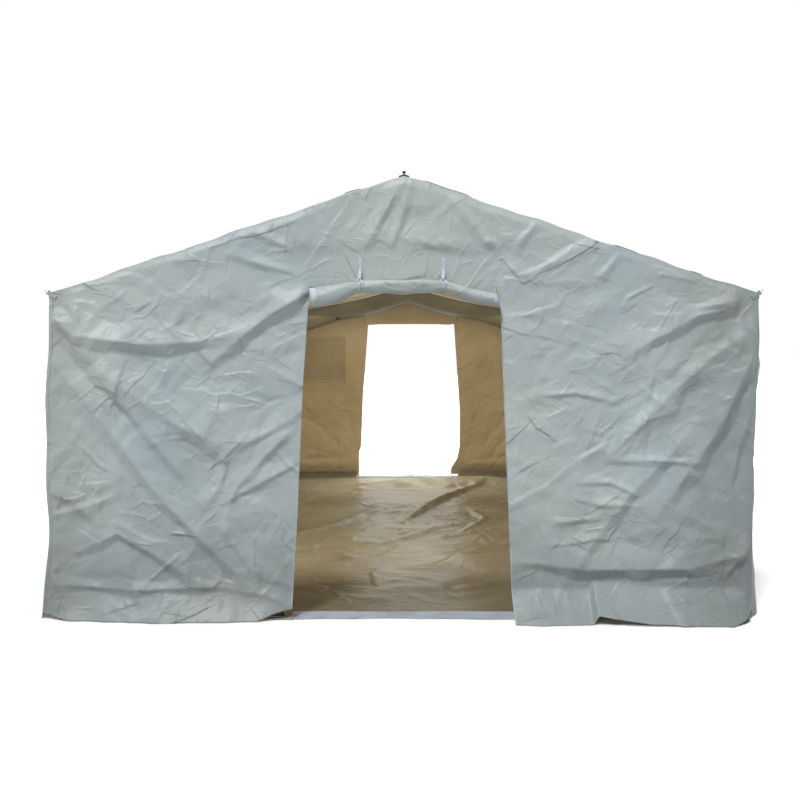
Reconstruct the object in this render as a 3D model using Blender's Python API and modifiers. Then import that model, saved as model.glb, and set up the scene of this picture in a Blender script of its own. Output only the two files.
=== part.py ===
# Inflatable medical tent: an air-beam frame under a coated cloth cover, with a door at each end.
# X runs across the tent, Y from the front door to the rear door, Z up, and the ground is at z = 0.
import math

import bmesh
import bpy
from mathutils import Matrix, Vector

# Overall sizes, in metres, over the smooth cloth
tent_width = 4.00
tent_length = 6.00
eave_height = 1.83
ridge_height = 2.50

# Cloth thicknesses, and the gap left between pieces that touch
cover_thickness = 0.001
ground_thickness = 0.001
beam_wall = 0.0012
seat_gap = 0.0003

# Air beams
arch_diameter = 0.30
cross_diameter = 0.20
eave_bend_radius = 0.17
crown_bend_radius = 0.25
gusset_depth = 0.08
gusset_reach = 0.85
ridge_beam_drop = 0.035
port_lip = 0.012
arch_bevel = 4
eave_bend_steps = 5
crown_bend_steps = 2
crown_stations = (0.85, 0.50, 0.28)

# Doorways, the same at both ends
door_width = 1.20
door_height = 1.86
threshold_depth = 0.155
threshold_overhang = 0.045
threshold_thickness = 0.002

# Rolled doors
roll_half_length = 0.52
roll_radius = 0.054
roll_pinch = 0.014
roll_pinch_width = 0.05
roll_middle_sag = 0.015
roll_end_droop = 0.095
roll_sides_bevel = 4
tie_spacing = 0.46
front_tie_height = 1.885
rear_tie_height = 1.925
tape_width = 0.022
tape_thickness = 0.001
tape_top = 2.01
tape_sewn_length = 0.038
tape_belly = 0.032
curtain_overlap = 0.040
curtain_drop = 0.110
curtain_half_width = 0.53

# Windows
window_width = 0.60
window_height = 0.53
side_window_sill = 1.00
rear_window_sill = 1.17
rear_window_centre_x = -1.075
net_margin = 0.025
net_thickness = 0.001
flap_margin = 0.035
flap_thickness = 0.001

# Skirt along the foot of each end wall
skirt_lift = 0.0012
skirt_rise = 0.085
skirt_reach = 0.120
skirt_corner_reach = 0.030
skirt_wave = 0.0144
skirt_wave_length = 0.90

# Corner fittings and peak studs
tab_width = 0.024
tab_length = 0.055
tab_thickness = 0.002
tab_angle = math.radians(35)
eye_radius = 0.0042
ring_wire_radius = 0.002
ring_running_gap = 0.0005
ring_radius = 0.0125
ring_bar_offset = 0.006
stud_base_radius = 0.014
stud_base_height = 0.003
stud_neck_radius = 0.005
stud_head_radius = 0.010
stud_neck_top = 0.0121
stud_head_edge = 0.0154
stud_height = 0.022
stud_inset = 0.030

# Inflation valves
valve_height = 0.40
valve_flange_radius = 0.040
valve_flange_thickness = 0.003
valve_neck_radius = 0.024
valve_neck_height = 0.012
valve_bore_radius = 0.018
valve_port_radius = 0.0225
valve_body_radius = 0.0215
valve_depth = 0.018
valve_seat_radius = 0.013
valve_seat_thickness = 0.002
valve_bar_width = 0.008
valve_bar_thickness = 0.003
valve_bar_drop = 0.006
stem_radius = 0.0028
stem_running_gap = 0.0005
plunger_disc_radius = 0.016
plunger_disc_thickness = 0.002
button_radius = 0.007
button_thickness = 0.003
plunger_travel = 0.005
spring_radius = 0.005
spring_wire_radius = 0.0006
spring_turns = 3
spring_points_per_turn = 8
cap_top_thickness = 0.003
cap_rim_thickness = 0.002
cap_rim_depth = 0.006
cap_rim_clearance = 0.0008

# Relief valve on the rear arch
relief_station_x = -0.885
relief_tilt = math.radians(30)
relief_flange_radius = 0.026
relief_body_radius = 0.019
relief_shoulder_radius = 0.0152
relief_shoulder_height = 0.0098
relief_height = 0.014
relief_port_radius = 0.012
relief_bore_radius = 0.0065
relief_poppet_radius = 0.0058
relief_poppet_proud = 0.004

half_width = tent_width / 2
half_length = tent_length / 2
door_half = door_width / 2
tie_x = tie_spacing / 2
arch_radius = arch_diameter / 2
cross_radius = cross_diameter / 2
pitch = (ridge_height - eave_height) / half_width
slope = math.atan(pitch)
side_plane = half_width - cover_thickness
end_plane = half_length - cover_thickness
leg_x = side_plane - seat_gap - arch_radius
end_arch_y = end_plane - seat_gap - arch_radius
foot_z = ground_thickness + seat_gap

# Colours as linear base colour, roughness and metallic
finishes = {
    "cover_cloth": ((0.36, 0.42, 0.43), 0.55, 0.0),
    "beam_cloth": ((0.22, 0.23, 0.20), 0.50, 0.0),
    "ground_cloth": ((0.22, 0.18, 0.12), 0.35, 0.0),
    "pale_tape": ((0.50, 0.58, 0.66), 0.70, 0.0),
    "net": ((0.12, 0.12, 0.11), 0.80, 0.0),
    "steel": ((0.55, 0.55, 0.56), 0.30, 1.0),
    "dark_metal": ((0.05, 0.04, 0.04), 0.40, 1.0),
    "valve_plastic": ((0.05, 0.05, 0.055), 0.45, 0.0),
}

for old in list(bpy.data.objects):
    bpy.data.objects.remove(old)

parts = bpy.data.collections.new("inflatable_medical_tent")
cutters = bpy.data.collections.new("cutters")
bpy.context.scene.collection.children.link(parts)
bpy.context.scene.collection.children.link(cutters)


def add_part(name, mesh, finish):
    """Links a mesh as a named part with its own material."""
    colour, roughness, metallic = finishes[finish]
    material = bpy.data.materials.new(name)
    material.use_nodes = True
    shader = material.node_tree.nodes["Principled BSDF"]
    shader.inputs["Base Color"].default_value = (*colour, 1)
    shader.inputs["Roughness"].default_value = roughness
    shader.inputs["Metallic"].default_value = metallic
    mesh.materials.clear()
    mesh.materials.append(material)
    part = bpy.data.objects.new(name, mesh)
    parts.objects.link(part)
    return part


def add_cutter(name, mesh):
    """Links a mesh as a cutting body that is no part of the tent."""
    cutter = bpy.data.objects.new(name, mesh)
    cutters.objects.link(cutter)
    cutter.hide_render = True
    cutter.display_type = "WIRE"
    return cutter


def mesh_from(bm, name):
    mesh = bpy.data.meshes.new(name)
    bm.to_mesh(mesh)
    bm.free()
    return mesh


def cut(part, cutter, operation="DIFFERENCE"):
    boolean = part.modifiers.new(cutter.name, "BOOLEAN")
    boolean.operation = operation
    boolean.object = cutter


def thicken(part, thickness, offset):
    """Gives an open surface its wall: offset 1 grows it outwards, -1 inwards."""
    wall = part.modifiers.new("wall", "SOLIDIFY")
    wall.thickness = thickness
    wall.offset = offset


def block_mesh(name, low, high):
    bm = bmesh.new()
    bmesh.ops.create_cube(bm, size=1)
    size = Vector(high) - Vector(low)
    bmesh.ops.scale(bm, vec=size, verts=bm.verts)
    bmesh.ops.translate(bm, vec=(Vector(low) + Vector(high)) / 2, verts=bm.verts)
    return mesh_from(bm, name)


def rod_mesh(name, start, end, radius, segments=24, capped=True):
    """A cylinder from start to end."""
    start, end = Vector(start), Vector(end)
    turn = Vector((0, 0, 1)).rotation_difference(end - start).to_matrix().to_4x4()
    bm = bmesh.new()
    bmesh.ops.create_cone(
        bm,
        cap_ends=capped,
        segments=segments,
        radius1=radius,
        radius2=radius,
        depth=(end - start).length,
        matrix=Matrix.Translation((start + end) / 2) @ turn,
    )
    return mesh_from(bm, name)


def tube_mesh(name, points, radius, bevel, radii=None, cyclic=False):
    """A round tube along a polyline, its ends capped; radii scale it point by point."""
    curve = bpy.data.curves.new(name, "CURVE")
    curve.dimensions = "3D"
    curve.bevel_depth = radius
    curve.bevel_resolution = bevel
    curve.use_fill_caps = not cyclic
    spline = curve.splines.new("POLY")
    spline.points.add(len(points) - 1)
    spline.use_cyclic_u = cyclic
    for index, place in enumerate(points):
        spline.points[index].co = (*place, 1)
        spline.points[index].radius = radii[index] if radii else 1
    draft = bpy.data.objects.new(name, curve)
    cutters.objects.link(draft)
    mesh = bpy.data.meshes.new_from_object(draft.evaluated_get(bpy.context.evaluated_depsgraph_get()))
    bpy.data.objects.remove(draft)
    bm = bmesh.new()
    bm.from_mesh(mesh)
    bmesh.ops.remove_doubles(bm, verts=bm.verts, dist=0.00002)
    bm.to_mesh(mesh)
    bm.free()
    return mesh


def turned(part_name, finish, profile, steps, closed):
    """A turned piece about local Z; a closed profile is a ring, an open one ends on the axis."""
    bm = bmesh.new()
    corners = [bm.verts.new((radius, 0, height)) for radius, height in profile]
    for first, second in zip(corners, corners[1:]):
        bm.edges.new((first, second))
    if closed:
        bm.edges.new((corners[-1], corners[0]))
    part = add_part(part_name, mesh_from(bm, part_name), finish)
    screw = part.modifiers.new("turn", "SCREW")
    screw.steps = steps
    screw.render_steps = steps
    screw.use_merge_vertices = True
    screw.merge_threshold = 0.00005
    return part


# The air frame


def roof_height(x, depth=0.0):
    """Height of the roof slope at x, a given depth under the cloth's outer face."""
    return ridge_height - abs(x) * pitch - depth / math.cos(slope)


def rafter_height(x):
    return roof_height(x, cover_thickness + seat_gap + arch_radius)


def bend(before, corner, after, radius, steps):
    """Points of an arc that rounds one corner of a path."""
    back = (before - corner).normalized()
    ahead = (after - corner).normalized()
    half = back.angle(ahead) / 2
    centre = corner + (back + ahead).normalized() * radius / math.sin(half)
    start = corner + back * radius / math.tan(half) - centre
    end = corner + ahead * radius / math.tan(half) - centre
    whole = start.rotation_difference(end)
    arc = []
    for step in range(steps + 1):
        part_turn = whole.copy()
        part_turn.angle = whole.angle * step / steps
        arc.append(centre + part_turn @ start)
    return arc


def arch_half(y):
    """Centre line of an arch's left half, from its foot to the crown."""
    foot = Vector((-leg_x, y, foot_z))
    eave = Vector((-leg_x, y, rafter_height(leg_x)))
    crown = Vector((0, y, rafter_height(0)))
    far_eave = Vector((leg_x, y, rafter_height(leg_x)))
    stations = [Vector((-x, y, rafter_height(x))) for x in crown_stations]
    eave_arc = bend(foot, eave, crown, eave_bend_radius, eave_bend_steps)
    crown_arc = bend(eave, crown, far_eave, crown_bend_radius, 2 * crown_bend_steps)
    return [foot, *eave_arc, *stations, *crown_arc[: crown_bend_steps + 1]]


def arch_mesh(name, y, radius):
    """The tube of one arch, deepened under the crown by its gusset."""
    half = arch_half(y)
    mirrored = [Vector((-point.x, point.y, point.z)) for point in reversed(half[:-1])]
    mesh = tube_mesh(name, half + mirrored, radius, arch_bevel)
    for vertex in mesh.vertices:
        above = (vertex.co.z - rafter_height(vertex.co.x)) * math.cos(slope)
        across = (abs(vertex.co.x) - above * math.sin(slope)) / gusset_reach
        if across < 1:
            share = min(max(0.5 * (1 - above / arch_radius), 0), 1)
            vertex.co.z -= gusset_depth * (1 - across**2) * share
    return mesh


eave_middle = arch_half(0)[1 + eave_bend_steps // 2].lerp(arch_half(0)[1 + (eave_bend_steps + 1) // 2], 0.5)
ridge_beam_z = ridge_height - cover_thickness - ridge_beam_drop - cross_radius
cross_centres = {
    "ridge": (0.0, ridge_beam_z),
    "left_eave": (eave_middle.x, eave_middle.z),
    "right_eave": (-eave_middle.x, eave_middle.z),
}
arch_places = {"front": -end_arch_y, "middle": 0.0, "rear": end_arch_y}

port_cutters = []
for cross_name, (cross_x, cross_z) in cross_centres.items():
    port_radius = cross_radius - beam_wall - port_lip
    port_start = (cross_x, -end_arch_y, cross_z)
    port_end = (cross_x, end_arch_y, cross_z)
    port_name = cross_name + "_port"
    port_cutters.append(add_cutter(port_name, rod_mesh(port_name, port_start, port_end, port_radius, 16)))

arches = {}
arch_envelopes = {}
for place, arch_y in arch_places.items():
    arch_name = place + "_arch_beam"
    arches[place] = add_part(arch_name, arch_mesh(arch_name, arch_y, arch_radius), "beam_cloth")
    thicken(arches[place], beam_wall, -1)
    for port in port_cutters:
        cut(arches[place], port)
    envelope_name = place + "_arch_envelope"
    envelope = arch_mesh(envelope_name, arch_y, arch_radius + seat_gap)
    arch_envelopes[place] = add_cutter(envelope_name, envelope)

bays = {"front": ("front", "middle"), "rear": ("middle", "rear")}
for cross_name, (cross_x, cross_z) in cross_centres.items():
    for bay, ends in bays.items():
        beam_name = f"{cross_name}_beam_{bay}"
        beam_start = (cross_x, arch_places[ends[0]], cross_z)
        beam_end = (cross_x, arch_places[ends[1]], cross_z)
        tube = rod_mesh(beam_name, beam_start, beam_end, cross_radius, 16, capped=False)
        beam = add_part(beam_name, tube, "beam_cloth")
        thicken(beam, beam_wall, -1)
        for end in ends:
            cut(beam, arch_envelopes[end])


# Cloth with its main folds
fold_end_share = 0.35


def fold_height(across, up, folds):
    """How far the folds lift the cloth out of its plane at one point."""
    here = Vector((across, up))
    lift = 0.0
    for start_across, start_up, end_across, end_up, half_wide, high in folds:
        start = Vector((start_across, start_up))
        run = Vector((end_across, end_up)) - start
        along = min(max((here - start).dot(run) / run.length_squared, 0), 1)
        off = (here - start - run * along).length / half_wide
        fade = fold_end_share + (1 - fold_end_share) * math.sin(math.pi * along)
        lift += high * fade * math.exp(-off * off)
    return lift


def ease(value):
    value = min(max(value, 0), 1)
    return value * value * (3 - 2 * value)


def clear_of_box(across, up, box, margin):
    """0 inside a box of the cloth that has to stay flat, rising to 1 a margin away from it."""
    low_across, low_up, high_across, high_up = box
    beyond = max(low_across - across, across - high_across, low_up - up, up - high_up, 0)
    return ease(beyond / margin)


def cloth_panel(name, columns, rows, place, hole=None):
    """A sheet of cloth from a grid; place(column, row) puts each grid point, hole drops faces."""
    bm = bmesh.new()
    bmesh.ops.create_grid(bm, x_segments=columns, y_segments=rows, size=0.5)
    if hole:
        inside = [
            face
            for face in bm.faces
            if hole((face.calc_center_median().x + 0.5) * columns, (face.calc_center_median().y + 0.5) * rows)
        ]
        bmesh.ops.delete(bm, geom=inside, context="FACES")
    for vertex in bm.verts:
        column = round((vertex.co.x + 0.5) * columns)
        row = round((vertex.co.y + 0.5) * rows)
        vertex.co = place(column, row)
    panel = add_part(name, mesh_from(bm, name), "cover_cloth")
    thicken(panel, cover_thickness, 1)
    return panel


def face_outwards(panel, outward):
    """Turns the panel's faces so that they look along outward."""
    mesh = panel.data
    facing = sum((polygon.normal * polygon.area for polygon in mesh.polygons), Vector())
    if facing.dot(Vector(outward)) < 0:
        mesh.flip_normals()


# Main folds of the end walls: start across and up, end across and up, half width and height
front_folds = (
    (-2.00, 1.74, -1.30, 1.10, 0.10, 0.024),
    (-2.00, 1.44, -0.78, 0.10, 0.09, 0.030),
    (-1.84, 1.59, -0.96, 1.56, 0.09, 0.028),
    (-0.60, 1.83, -1.08, 1.39, 0.07, 0.020),
    (-1.81, 0.40, -1.08, 0.15, 0.09, 0.020),
    (2.00, 1.80, 1.25, 1.48, 0.08, 0.020),
    (2.00, 1.56, 0.99, 0.31, 0.09, 0.030),
    (1.96, 1.48, 1.41, 0.50, 0.08, 0.026),
    (1.55, 1.30, 1.16, 0.93, 0.07, 0.016),
    (1.85, 0.30, 0.75, 0.22, 0.09, 0.018),
    (-0.05, 2.42, -0.24, 2.12, 0.06, 0.018),
    (0.27, 2.30, 0.55, 1.98, 0.08, 0.014),
    (-0.90, 2.12, -0.62, 1.98, 0.07, 0.012),
)
rear_folds = (
    (-2.00, 1.70, -1.45, 0.55, 0.09, 0.024),
    (-1.60, 0.85, -0.72, 0.20, 0.10, 0.026),
    (2.00, 1.72, 1.10, 1.20, 0.10, 0.026),
    (1.90, 1.35, 0.85, 0.30, 0.09, 0.028),
    (1.50, 0.40, 0.75, 1.05, 0.08, 0.018),
    (0.05, 2.42, 0.30, 2.10, 0.07, 0.016),
    (-0.40, 2.22, -0.85, 1.98, 0.08, 0.016),
)

end_side_columns = 12
end_door_columns = 8
end_columns = 2 * end_side_columns + end_door_columns
end_skirt_rows = 3
end_wall_rows = 11
end_gable_rows = 5
end_rows = end_skirt_rows + end_wall_rows + end_gable_rows
side_panel_width = half_width - door_half
knuckle_share = 0.86
seam_fade = 0.16
top_fade = 0.10
opening_fade = 0.12
skirt_profile = ((1.00, 0.00), (0.60, 0.09), (0.20, 0.42), (0.00, 1.00))


def end_wall_x(column):
    """Columns fall on the door's edges, however wide the door is."""
    if column < end_side_columns:
        return -half_width + side_panel_width * column / end_side_columns
    if column > end_side_columns + end_door_columns:
        return half_width - side_panel_width * (end_columns - column) / end_side_columns
    return -door_half + door_width * (column - end_side_columns) / end_door_columns


def skirt_length(x):
    """How far the skirt runs out over the ground: least at the corners, most beside the door."""
    beside = ease((half_width - abs(x)) / side_panel_width)
    wave = skirt_wave * math.sin(2 * math.pi * x / skirt_wave_length)
    return skirt_corner_reach + (skirt_reach - skirt_corner_reach + wave) * beside


def end_wall_lift(x, z, folds, flats):
    lift = fold_height(x, z, folds)
    lift *= ease((half_width - abs(x)) / seam_fade)
    lift *= ease((roof_height(x) - z) / top_fade)
    for box in flats:
        lift *= clear_of_box(x, z, box, opening_fade)
    return lift


def end_wall(name, facing, folds, flats):
    """An end wall; facing is -1 at the front and 1 at the rear. Its folds stand outwards."""

    def place(column, row):
        x = end_wall_x(column)
        level = eave_height * knuckle_share
        level += (door_height - level) * (1 - ease((abs(x) - door_half) / side_panel_width))
        top = roof_height(x, cover_thickness + 2 * seat_gap)
        if row <= end_skirt_rows:
            out, up = skirt_profile[row]
            z = skirt_lift + up * (skirt_rise - skirt_lift)
            return Vector((x, facing * (end_plane + out * skirt_length(x)), z))
        if row <= end_skirt_rows + end_wall_rows:
            z = skirt_rise + (level - skirt_rise) * (row - end_skirt_rows) / end_wall_rows
        else:
            z = level + (top - level) * (row - end_skirt_rows - end_wall_rows) / end_gable_rows
        return Vector((x, facing * (end_plane + end_wall_lift(x, z, folds, flats)), z))

    def doorway(column, row):
        in_width = end_side_columns < column < end_side_columns + end_door_columns
        return in_width and row < end_skirt_rows + end_wall_rows

    wall = cloth_panel(name, end_columns, end_rows, place, doorway)
    face_outwards(wall, (0, facing, 0))
    return wall


cloth_cell = side_panel_width / end_side_columns
lintel_flat = (-door_half, door_height - cloth_cell, door_half, tape_top + cloth_cell)
tab_room = tab_length + cloth_cell
left_tab_flat = (-half_width, eave_height - tab_room, -half_width + tab_room, eave_height + tab_room)
right_tab_flat = (half_width - tab_room, eave_height - tab_room, half_width, eave_height + tab_room)
rear_window_box = (
    rear_window_centre_x - window_width / 2,
    rear_window_sill,
    rear_window_centre_x + window_width / 2,
    rear_window_sill + window_height,
)
rear_window_reach = flap_margin + cloth_cell
rear_window_flat = (
    rear_window_box[0] - rear_window_reach,
    rear_window_box[1] - rear_window_reach,
    rear_window_box[2] + rear_window_reach,
    rear_window_box[3] + rear_window_reach,
)
shared_flats = (lintel_flat, left_tab_flat, right_tab_flat)
front_wall = end_wall("front_wall", -1, front_folds, shared_flats)
rear_wall = end_wall("rear_wall", 1, rear_folds, (*shared_flats, rear_window_flat))

# Columns along the tent fall on the arches, with the same number in each bay
bay_columns = 12
long_columns = 2 * bay_columns + 2
roof_rows = 6
roof_sag = 0.035
side_rows = 9
side_fold_height = 0.016
side_folds_per_bay = 5
side_fold_shift = 0.8
side_fold_sway = 0.5


def along_y(column, reach):
    """Column place along the tent: its end, the end arch, the bays, and the same again."""
    if column == 0:
        return -reach
    if column == long_columns:
        return reach
    return -end_arch_y + 2 * end_arch_y * (column - 1) / (2 * bay_columns)


def bay_share(y):
    """0 over an arch and 1 in the middle of a bay."""
    return math.sin(math.pi * min(abs(y), end_arch_y) / end_arch_y) ** 2


def roof_panel(name, side):
    """A roof slope, which sinks a little between the arches; side is -1 on the left, 1 on the right."""

    def place(column, row):
        y = along_y(column, half_length)
        across = seat_gap + (half_width - seat_gap) * row / roof_rows
        sink = roof_sag * bay_share(y) * math.sin(math.pi * row / roof_rows)
        return Vector((side * across, y, roof_height(across, cover_thickness) - sink))

    panel = cloth_panel(name, long_columns, roof_rows, place)
    face_outwards(panel, (0, 0, 1))
    return panel


roof_panel("roof_left_panel", -1)
roof_panel("roof_right_panel", 1)

side_window_y = end_arch_y / 2
side_window_boxes = tuple(
    (
        y - window_width / 2,
        side_window_sill,
        y + window_width / 2,
        side_window_sill + window_height,
    )
    for y in (-side_window_y, side_window_y)
)


def side_wall(name, side):
    """A long wall with upright folds in each bay, flat round its windows and over the arches."""
    reach = end_plane - seat_gap
    top = roof_height(half_width, cover_thickness + 2 * seat_gap)
    reach_y = flap_margin + end_arch_y / bay_columns
    reach_z = flap_margin + top / side_rows

    def place(column, row):
        y = along_y(column, reach)
        z = skirt_lift + (top - skirt_lift) * row / side_rows
        sway = side_fold_shift * side + side_fold_sway * math.sin(math.pi * z / top)
        wave = math.sin(side_folds_per_bay * math.pi * y / end_arch_y + sway)
        lift = side_fold_height * (1 + wave) / 2 * bay_share(y)
        lift *= ease((top - z) / top_fade) * ease((reach - abs(y)) / seam_fade)
        for low_y, low_z, high_y, high_z in side_window_boxes:
            flat = (low_y - reach_y, low_z - reach_z, high_y + reach_y, high_z + reach_z)
            lift *= clear_of_box(y, z, flat, opening_fade)
        return Vector((side * (side_plane + lift), y, z))

    wall = cloth_panel(name, long_columns, side_rows, place)
    face_outwards(wall, (side, 0, 0))
    return wall


side_walls = {"left": side_wall("left_side_wall", -1), "right": side_wall("right_side_wall", 1)}

# Windows: an opening in the wall, a net behind it and a flap in front, hinged along its top
cut_depth = 0.05


def flap_part(name, mesh, hinge_place):
    """A flap whose origin lies on its hinge line."""
    mesh.transform(Matrix.Translation(-Vector(hinge_place)))
    flap = add_part(name, mesh, "cover_cloth")
    flap.location = hinge_place
    return flap


for side_name, side in (("left", -1), ("right", 1)):
    inner = side * side_plane
    outer = side * (side_plane + cover_thickness)
    for bay, box in zip(("front", "rear"), side_window_boxes):
        window = f"{side_name}_{bay}_window"
        low_y, low_z, high_y, high_z = box
        opening_name = window + "_opening"
        opening_low = (inner - cut_depth, low_y, low_z)
        opening_high = (inner + cut_depth, high_y, high_z)
        cut(side_walls[side_name], add_cutter(opening_name, block_mesh(opening_name, opening_low, opening_high)))
        net_name = window + "_net"
        net_faces = sorted((inner - side * seat_gap, inner - side * (seat_gap + net_thickness)))
        net_low = (net_faces[0], low_y - net_margin, low_z - net_margin)
        net_high = (net_faces[1], high_y + net_margin, high_z + net_margin)
        add_part(net_name, block_mesh(net_name, net_low, net_high), "net")
        flap_name = window + "_flap"
        flap_faces = sorted((outer + side * seat_gap, outer + side * (seat_gap + flap_thickness)))
        flap_low = (flap_faces[0], low_y - flap_margin, low_z - flap_margin)
        flap_high = (flap_faces[1], high_y + flap_margin, high_z + flap_margin)
        hinge = (sum(flap_faces) / 2, (low_y + high_y) / 2, high_z + flap_margin)
        flap_part(flap_name, block_mesh(flap_name, flap_low, flap_high), hinge)

low_x, low_z, high_x, high_z = rear_window_box
rear_opening = block_mesh(
    "rear_window_opening",
    (low_x, end_plane - cut_depth, low_z),
    (high_x, end_plane + cut_depth, high_z),
)
cut(rear_wall, add_cutter("rear_window_opening", rear_opening))
rear_net = block_mesh(
    "rear_window_net",
    (low_x - net_margin, end_plane - seat_gap - net_thickness, low_z - net_margin),
    (high_x + net_margin, end_plane - seat_gap, high_z + net_margin),
)
add_part("rear_window_net", rear_net, "net")
rear_flap_face = half_length + seat_gap
rear_flap = block_mesh(
    "rear_window_flap",
    (low_x - flap_margin, rear_flap_face, low_z - flap_margin),
    (high_x + flap_margin, rear_flap_face + flap_thickness, high_z + flap_margin),
)
rear_hinge = (rear_window_centre_x, rear_flap_face + flap_thickness / 2, high_z + flap_margin)
flap_part("rear_window_flap", rear_flap, rear_hinge)

# Ground sheet and the pale strip in each doorway
ground_x = side_plane - seat_gap
ground_y = end_plane - seat_gap
ground = block_mesh("ground_sheet", (-ground_x, -ground_y, 0), (ground_x, ground_y, ground_thickness))
add_part("ground_sheet", ground, "ground_cloth")
for end_name, facing in (("front", -1), ("rear", 1)):
    strip_name = end_name + "_threshold_strip"
    strip_inner = half_length + threshold_overhang - threshold_depth
    strip_outer = half_length + threshold_overhang
    strip_y = sorted((facing * strip_inner, facing * strip_outer))
    strip_x = door_half - seat_gap
    strip_top = foot_z + threshold_thickness
    strip = block_mesh(strip_name, (-strip_x, strip_y[0], foot_z), (strip_x, strip_y[1], strip_top))
    add_part(strip_name, strip, "pale_tape")

# Rolled doors, outside the lintel on two ties
roll_end_stations = 5
roll_middle_stations = 8
tie_margin = 0.004
tie_flat = tape_width / 2 + tie_margin
curtain_face = half_length + seat_gap
roll_back = curtain_face + cover_thickness + seat_gap
roll_offset = roll_back + roll_radius


def roll_stations():
    """Places across the roll: evenly along each stretch, with a straight stretch under each tie."""
    outer_run = roll_half_length - tie_x - tie_flat
    middle_run = 2 * (tie_x - tie_flat)
    left = [-roll_half_length + outer_run * step / roll_end_stations for step in range(roll_end_stations + 1)]
    middle = [-tie_x + tie_flat + middle_run * step / roll_middle_stations for step in range(roll_middle_stations + 1)]
    return left + middle + [-x for x in reversed(left)]


def roll_height(x, tie_height):
    if abs(x) < tie_x - tie_flat:
        return tie_height - roll_middle_sag * (1 + math.cos(math.pi * x / (tie_x - tie_flat))) / 2
    beyond = max(abs(x) - tie_x - tie_flat, 0) / (roll_half_length - tie_x - tie_flat)
    return tie_height - roll_end_droop * beyond**1.5


def roll_scale(x):
    """The roll is drawn in at its two ties."""
    off = max(abs(abs(x) - tie_x) - tie_flat, 0) / roll_pinch_width
    return 1 - roll_pinch / roll_radius * math.exp(-off * off)


def ribbon(name, points, width, thickness, finish, outward):
    """A flat tape or cloth along points, its width along X and its wall standing outwards."""
    bm = bmesh.new()
    bmesh.ops.create_grid(bm, x_segments=1, y_segments=len(points) - 1, size=0.5)
    for vertex in bm.verts:
        place = points[round((vertex.co.y + 0.5) * (len(points) - 1))]
        vertex.co = Vector((place[0] + vertex.co.x * width, place[1], place[2]))
    piece = add_part(name, mesh_from(bm, name), finish)
    face_outwards(piece, outward)
    thicken(piece, thickness, 1)
    return piece


def rolled_door(end_name, facing, tie_height):
    places = [(x, facing * roll_offset, roll_height(x, tie_height)) for x in roll_stations()]
    scales = [roll_scale(x) for x in roll_stations()]
    roll = tube_mesh(end_name + "_door_roll", places, roll_radius, roll_sides_bevel, scales)
    add_part(end_name + "_door_roll", roll, "cover_cloth")

    curtain_top = (0, facing * curtain_face, door_height + curtain_overlap)
    curtain_foot = (0, facing * curtain_face, door_height - curtain_drop)
    curtain_name = end_name + "_door_curtain"
    outward = (0, facing, 0)
    curtain_width = 2 * curtain_half_width
    ribbon(curtain_name, (curtain_top, curtain_foot), curtain_width, cover_thickness, "cover_cloth", outward)

    pinched = roll_radius - roll_pinch
    tie_sides = 4 + 2 * roll_sides_bevel
    tie_inner = (pinched + seat_gap) / math.cos(math.pi / tie_sides)
    tie_outer = tie_inner + tape_thickness
    for side_name, side in (("left", -1), ("right", 1)):
        x = side * tie_x
        tie_name = f"{end_name}_door_{side_name}_tie"
        tie_start = (x - tape_width / 2, facing * roll_offset, tie_height)
        tie_end = (x + tape_width / 2, facing * roll_offset, tie_height)
        tie = add_part(tie_name, rod_mesh(tie_name, tie_start, tie_end, tie_inner, tie_sides, capped=False), "pale_tape")
        thicken(tie, tape_thickness, 1)
        tape_name = f"{end_name}_door_{side_name}_tape"
        tape_rise = tie_height - front_tie_height
        tape_path = (
            (x, facing * curtain_face, tape_top + tape_rise),
            (x, facing * curtain_face, tape_top - tape_sewn_length + tape_rise),
            (x, facing * (curtain_face + tape_belly), tie_height + tie_outer + 4 * seat_gap),
            (x, facing * roll_offset, tie_height + tie_outer + seat_gap),
        )
        ribbon(tape_name, tape_path, tape_width, tape_thickness, "pale_tape", (0, facing, 0.5))


rolled_door("front", -1, front_tie_height)
rolled_door("rear", 1, rear_tie_height)


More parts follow.
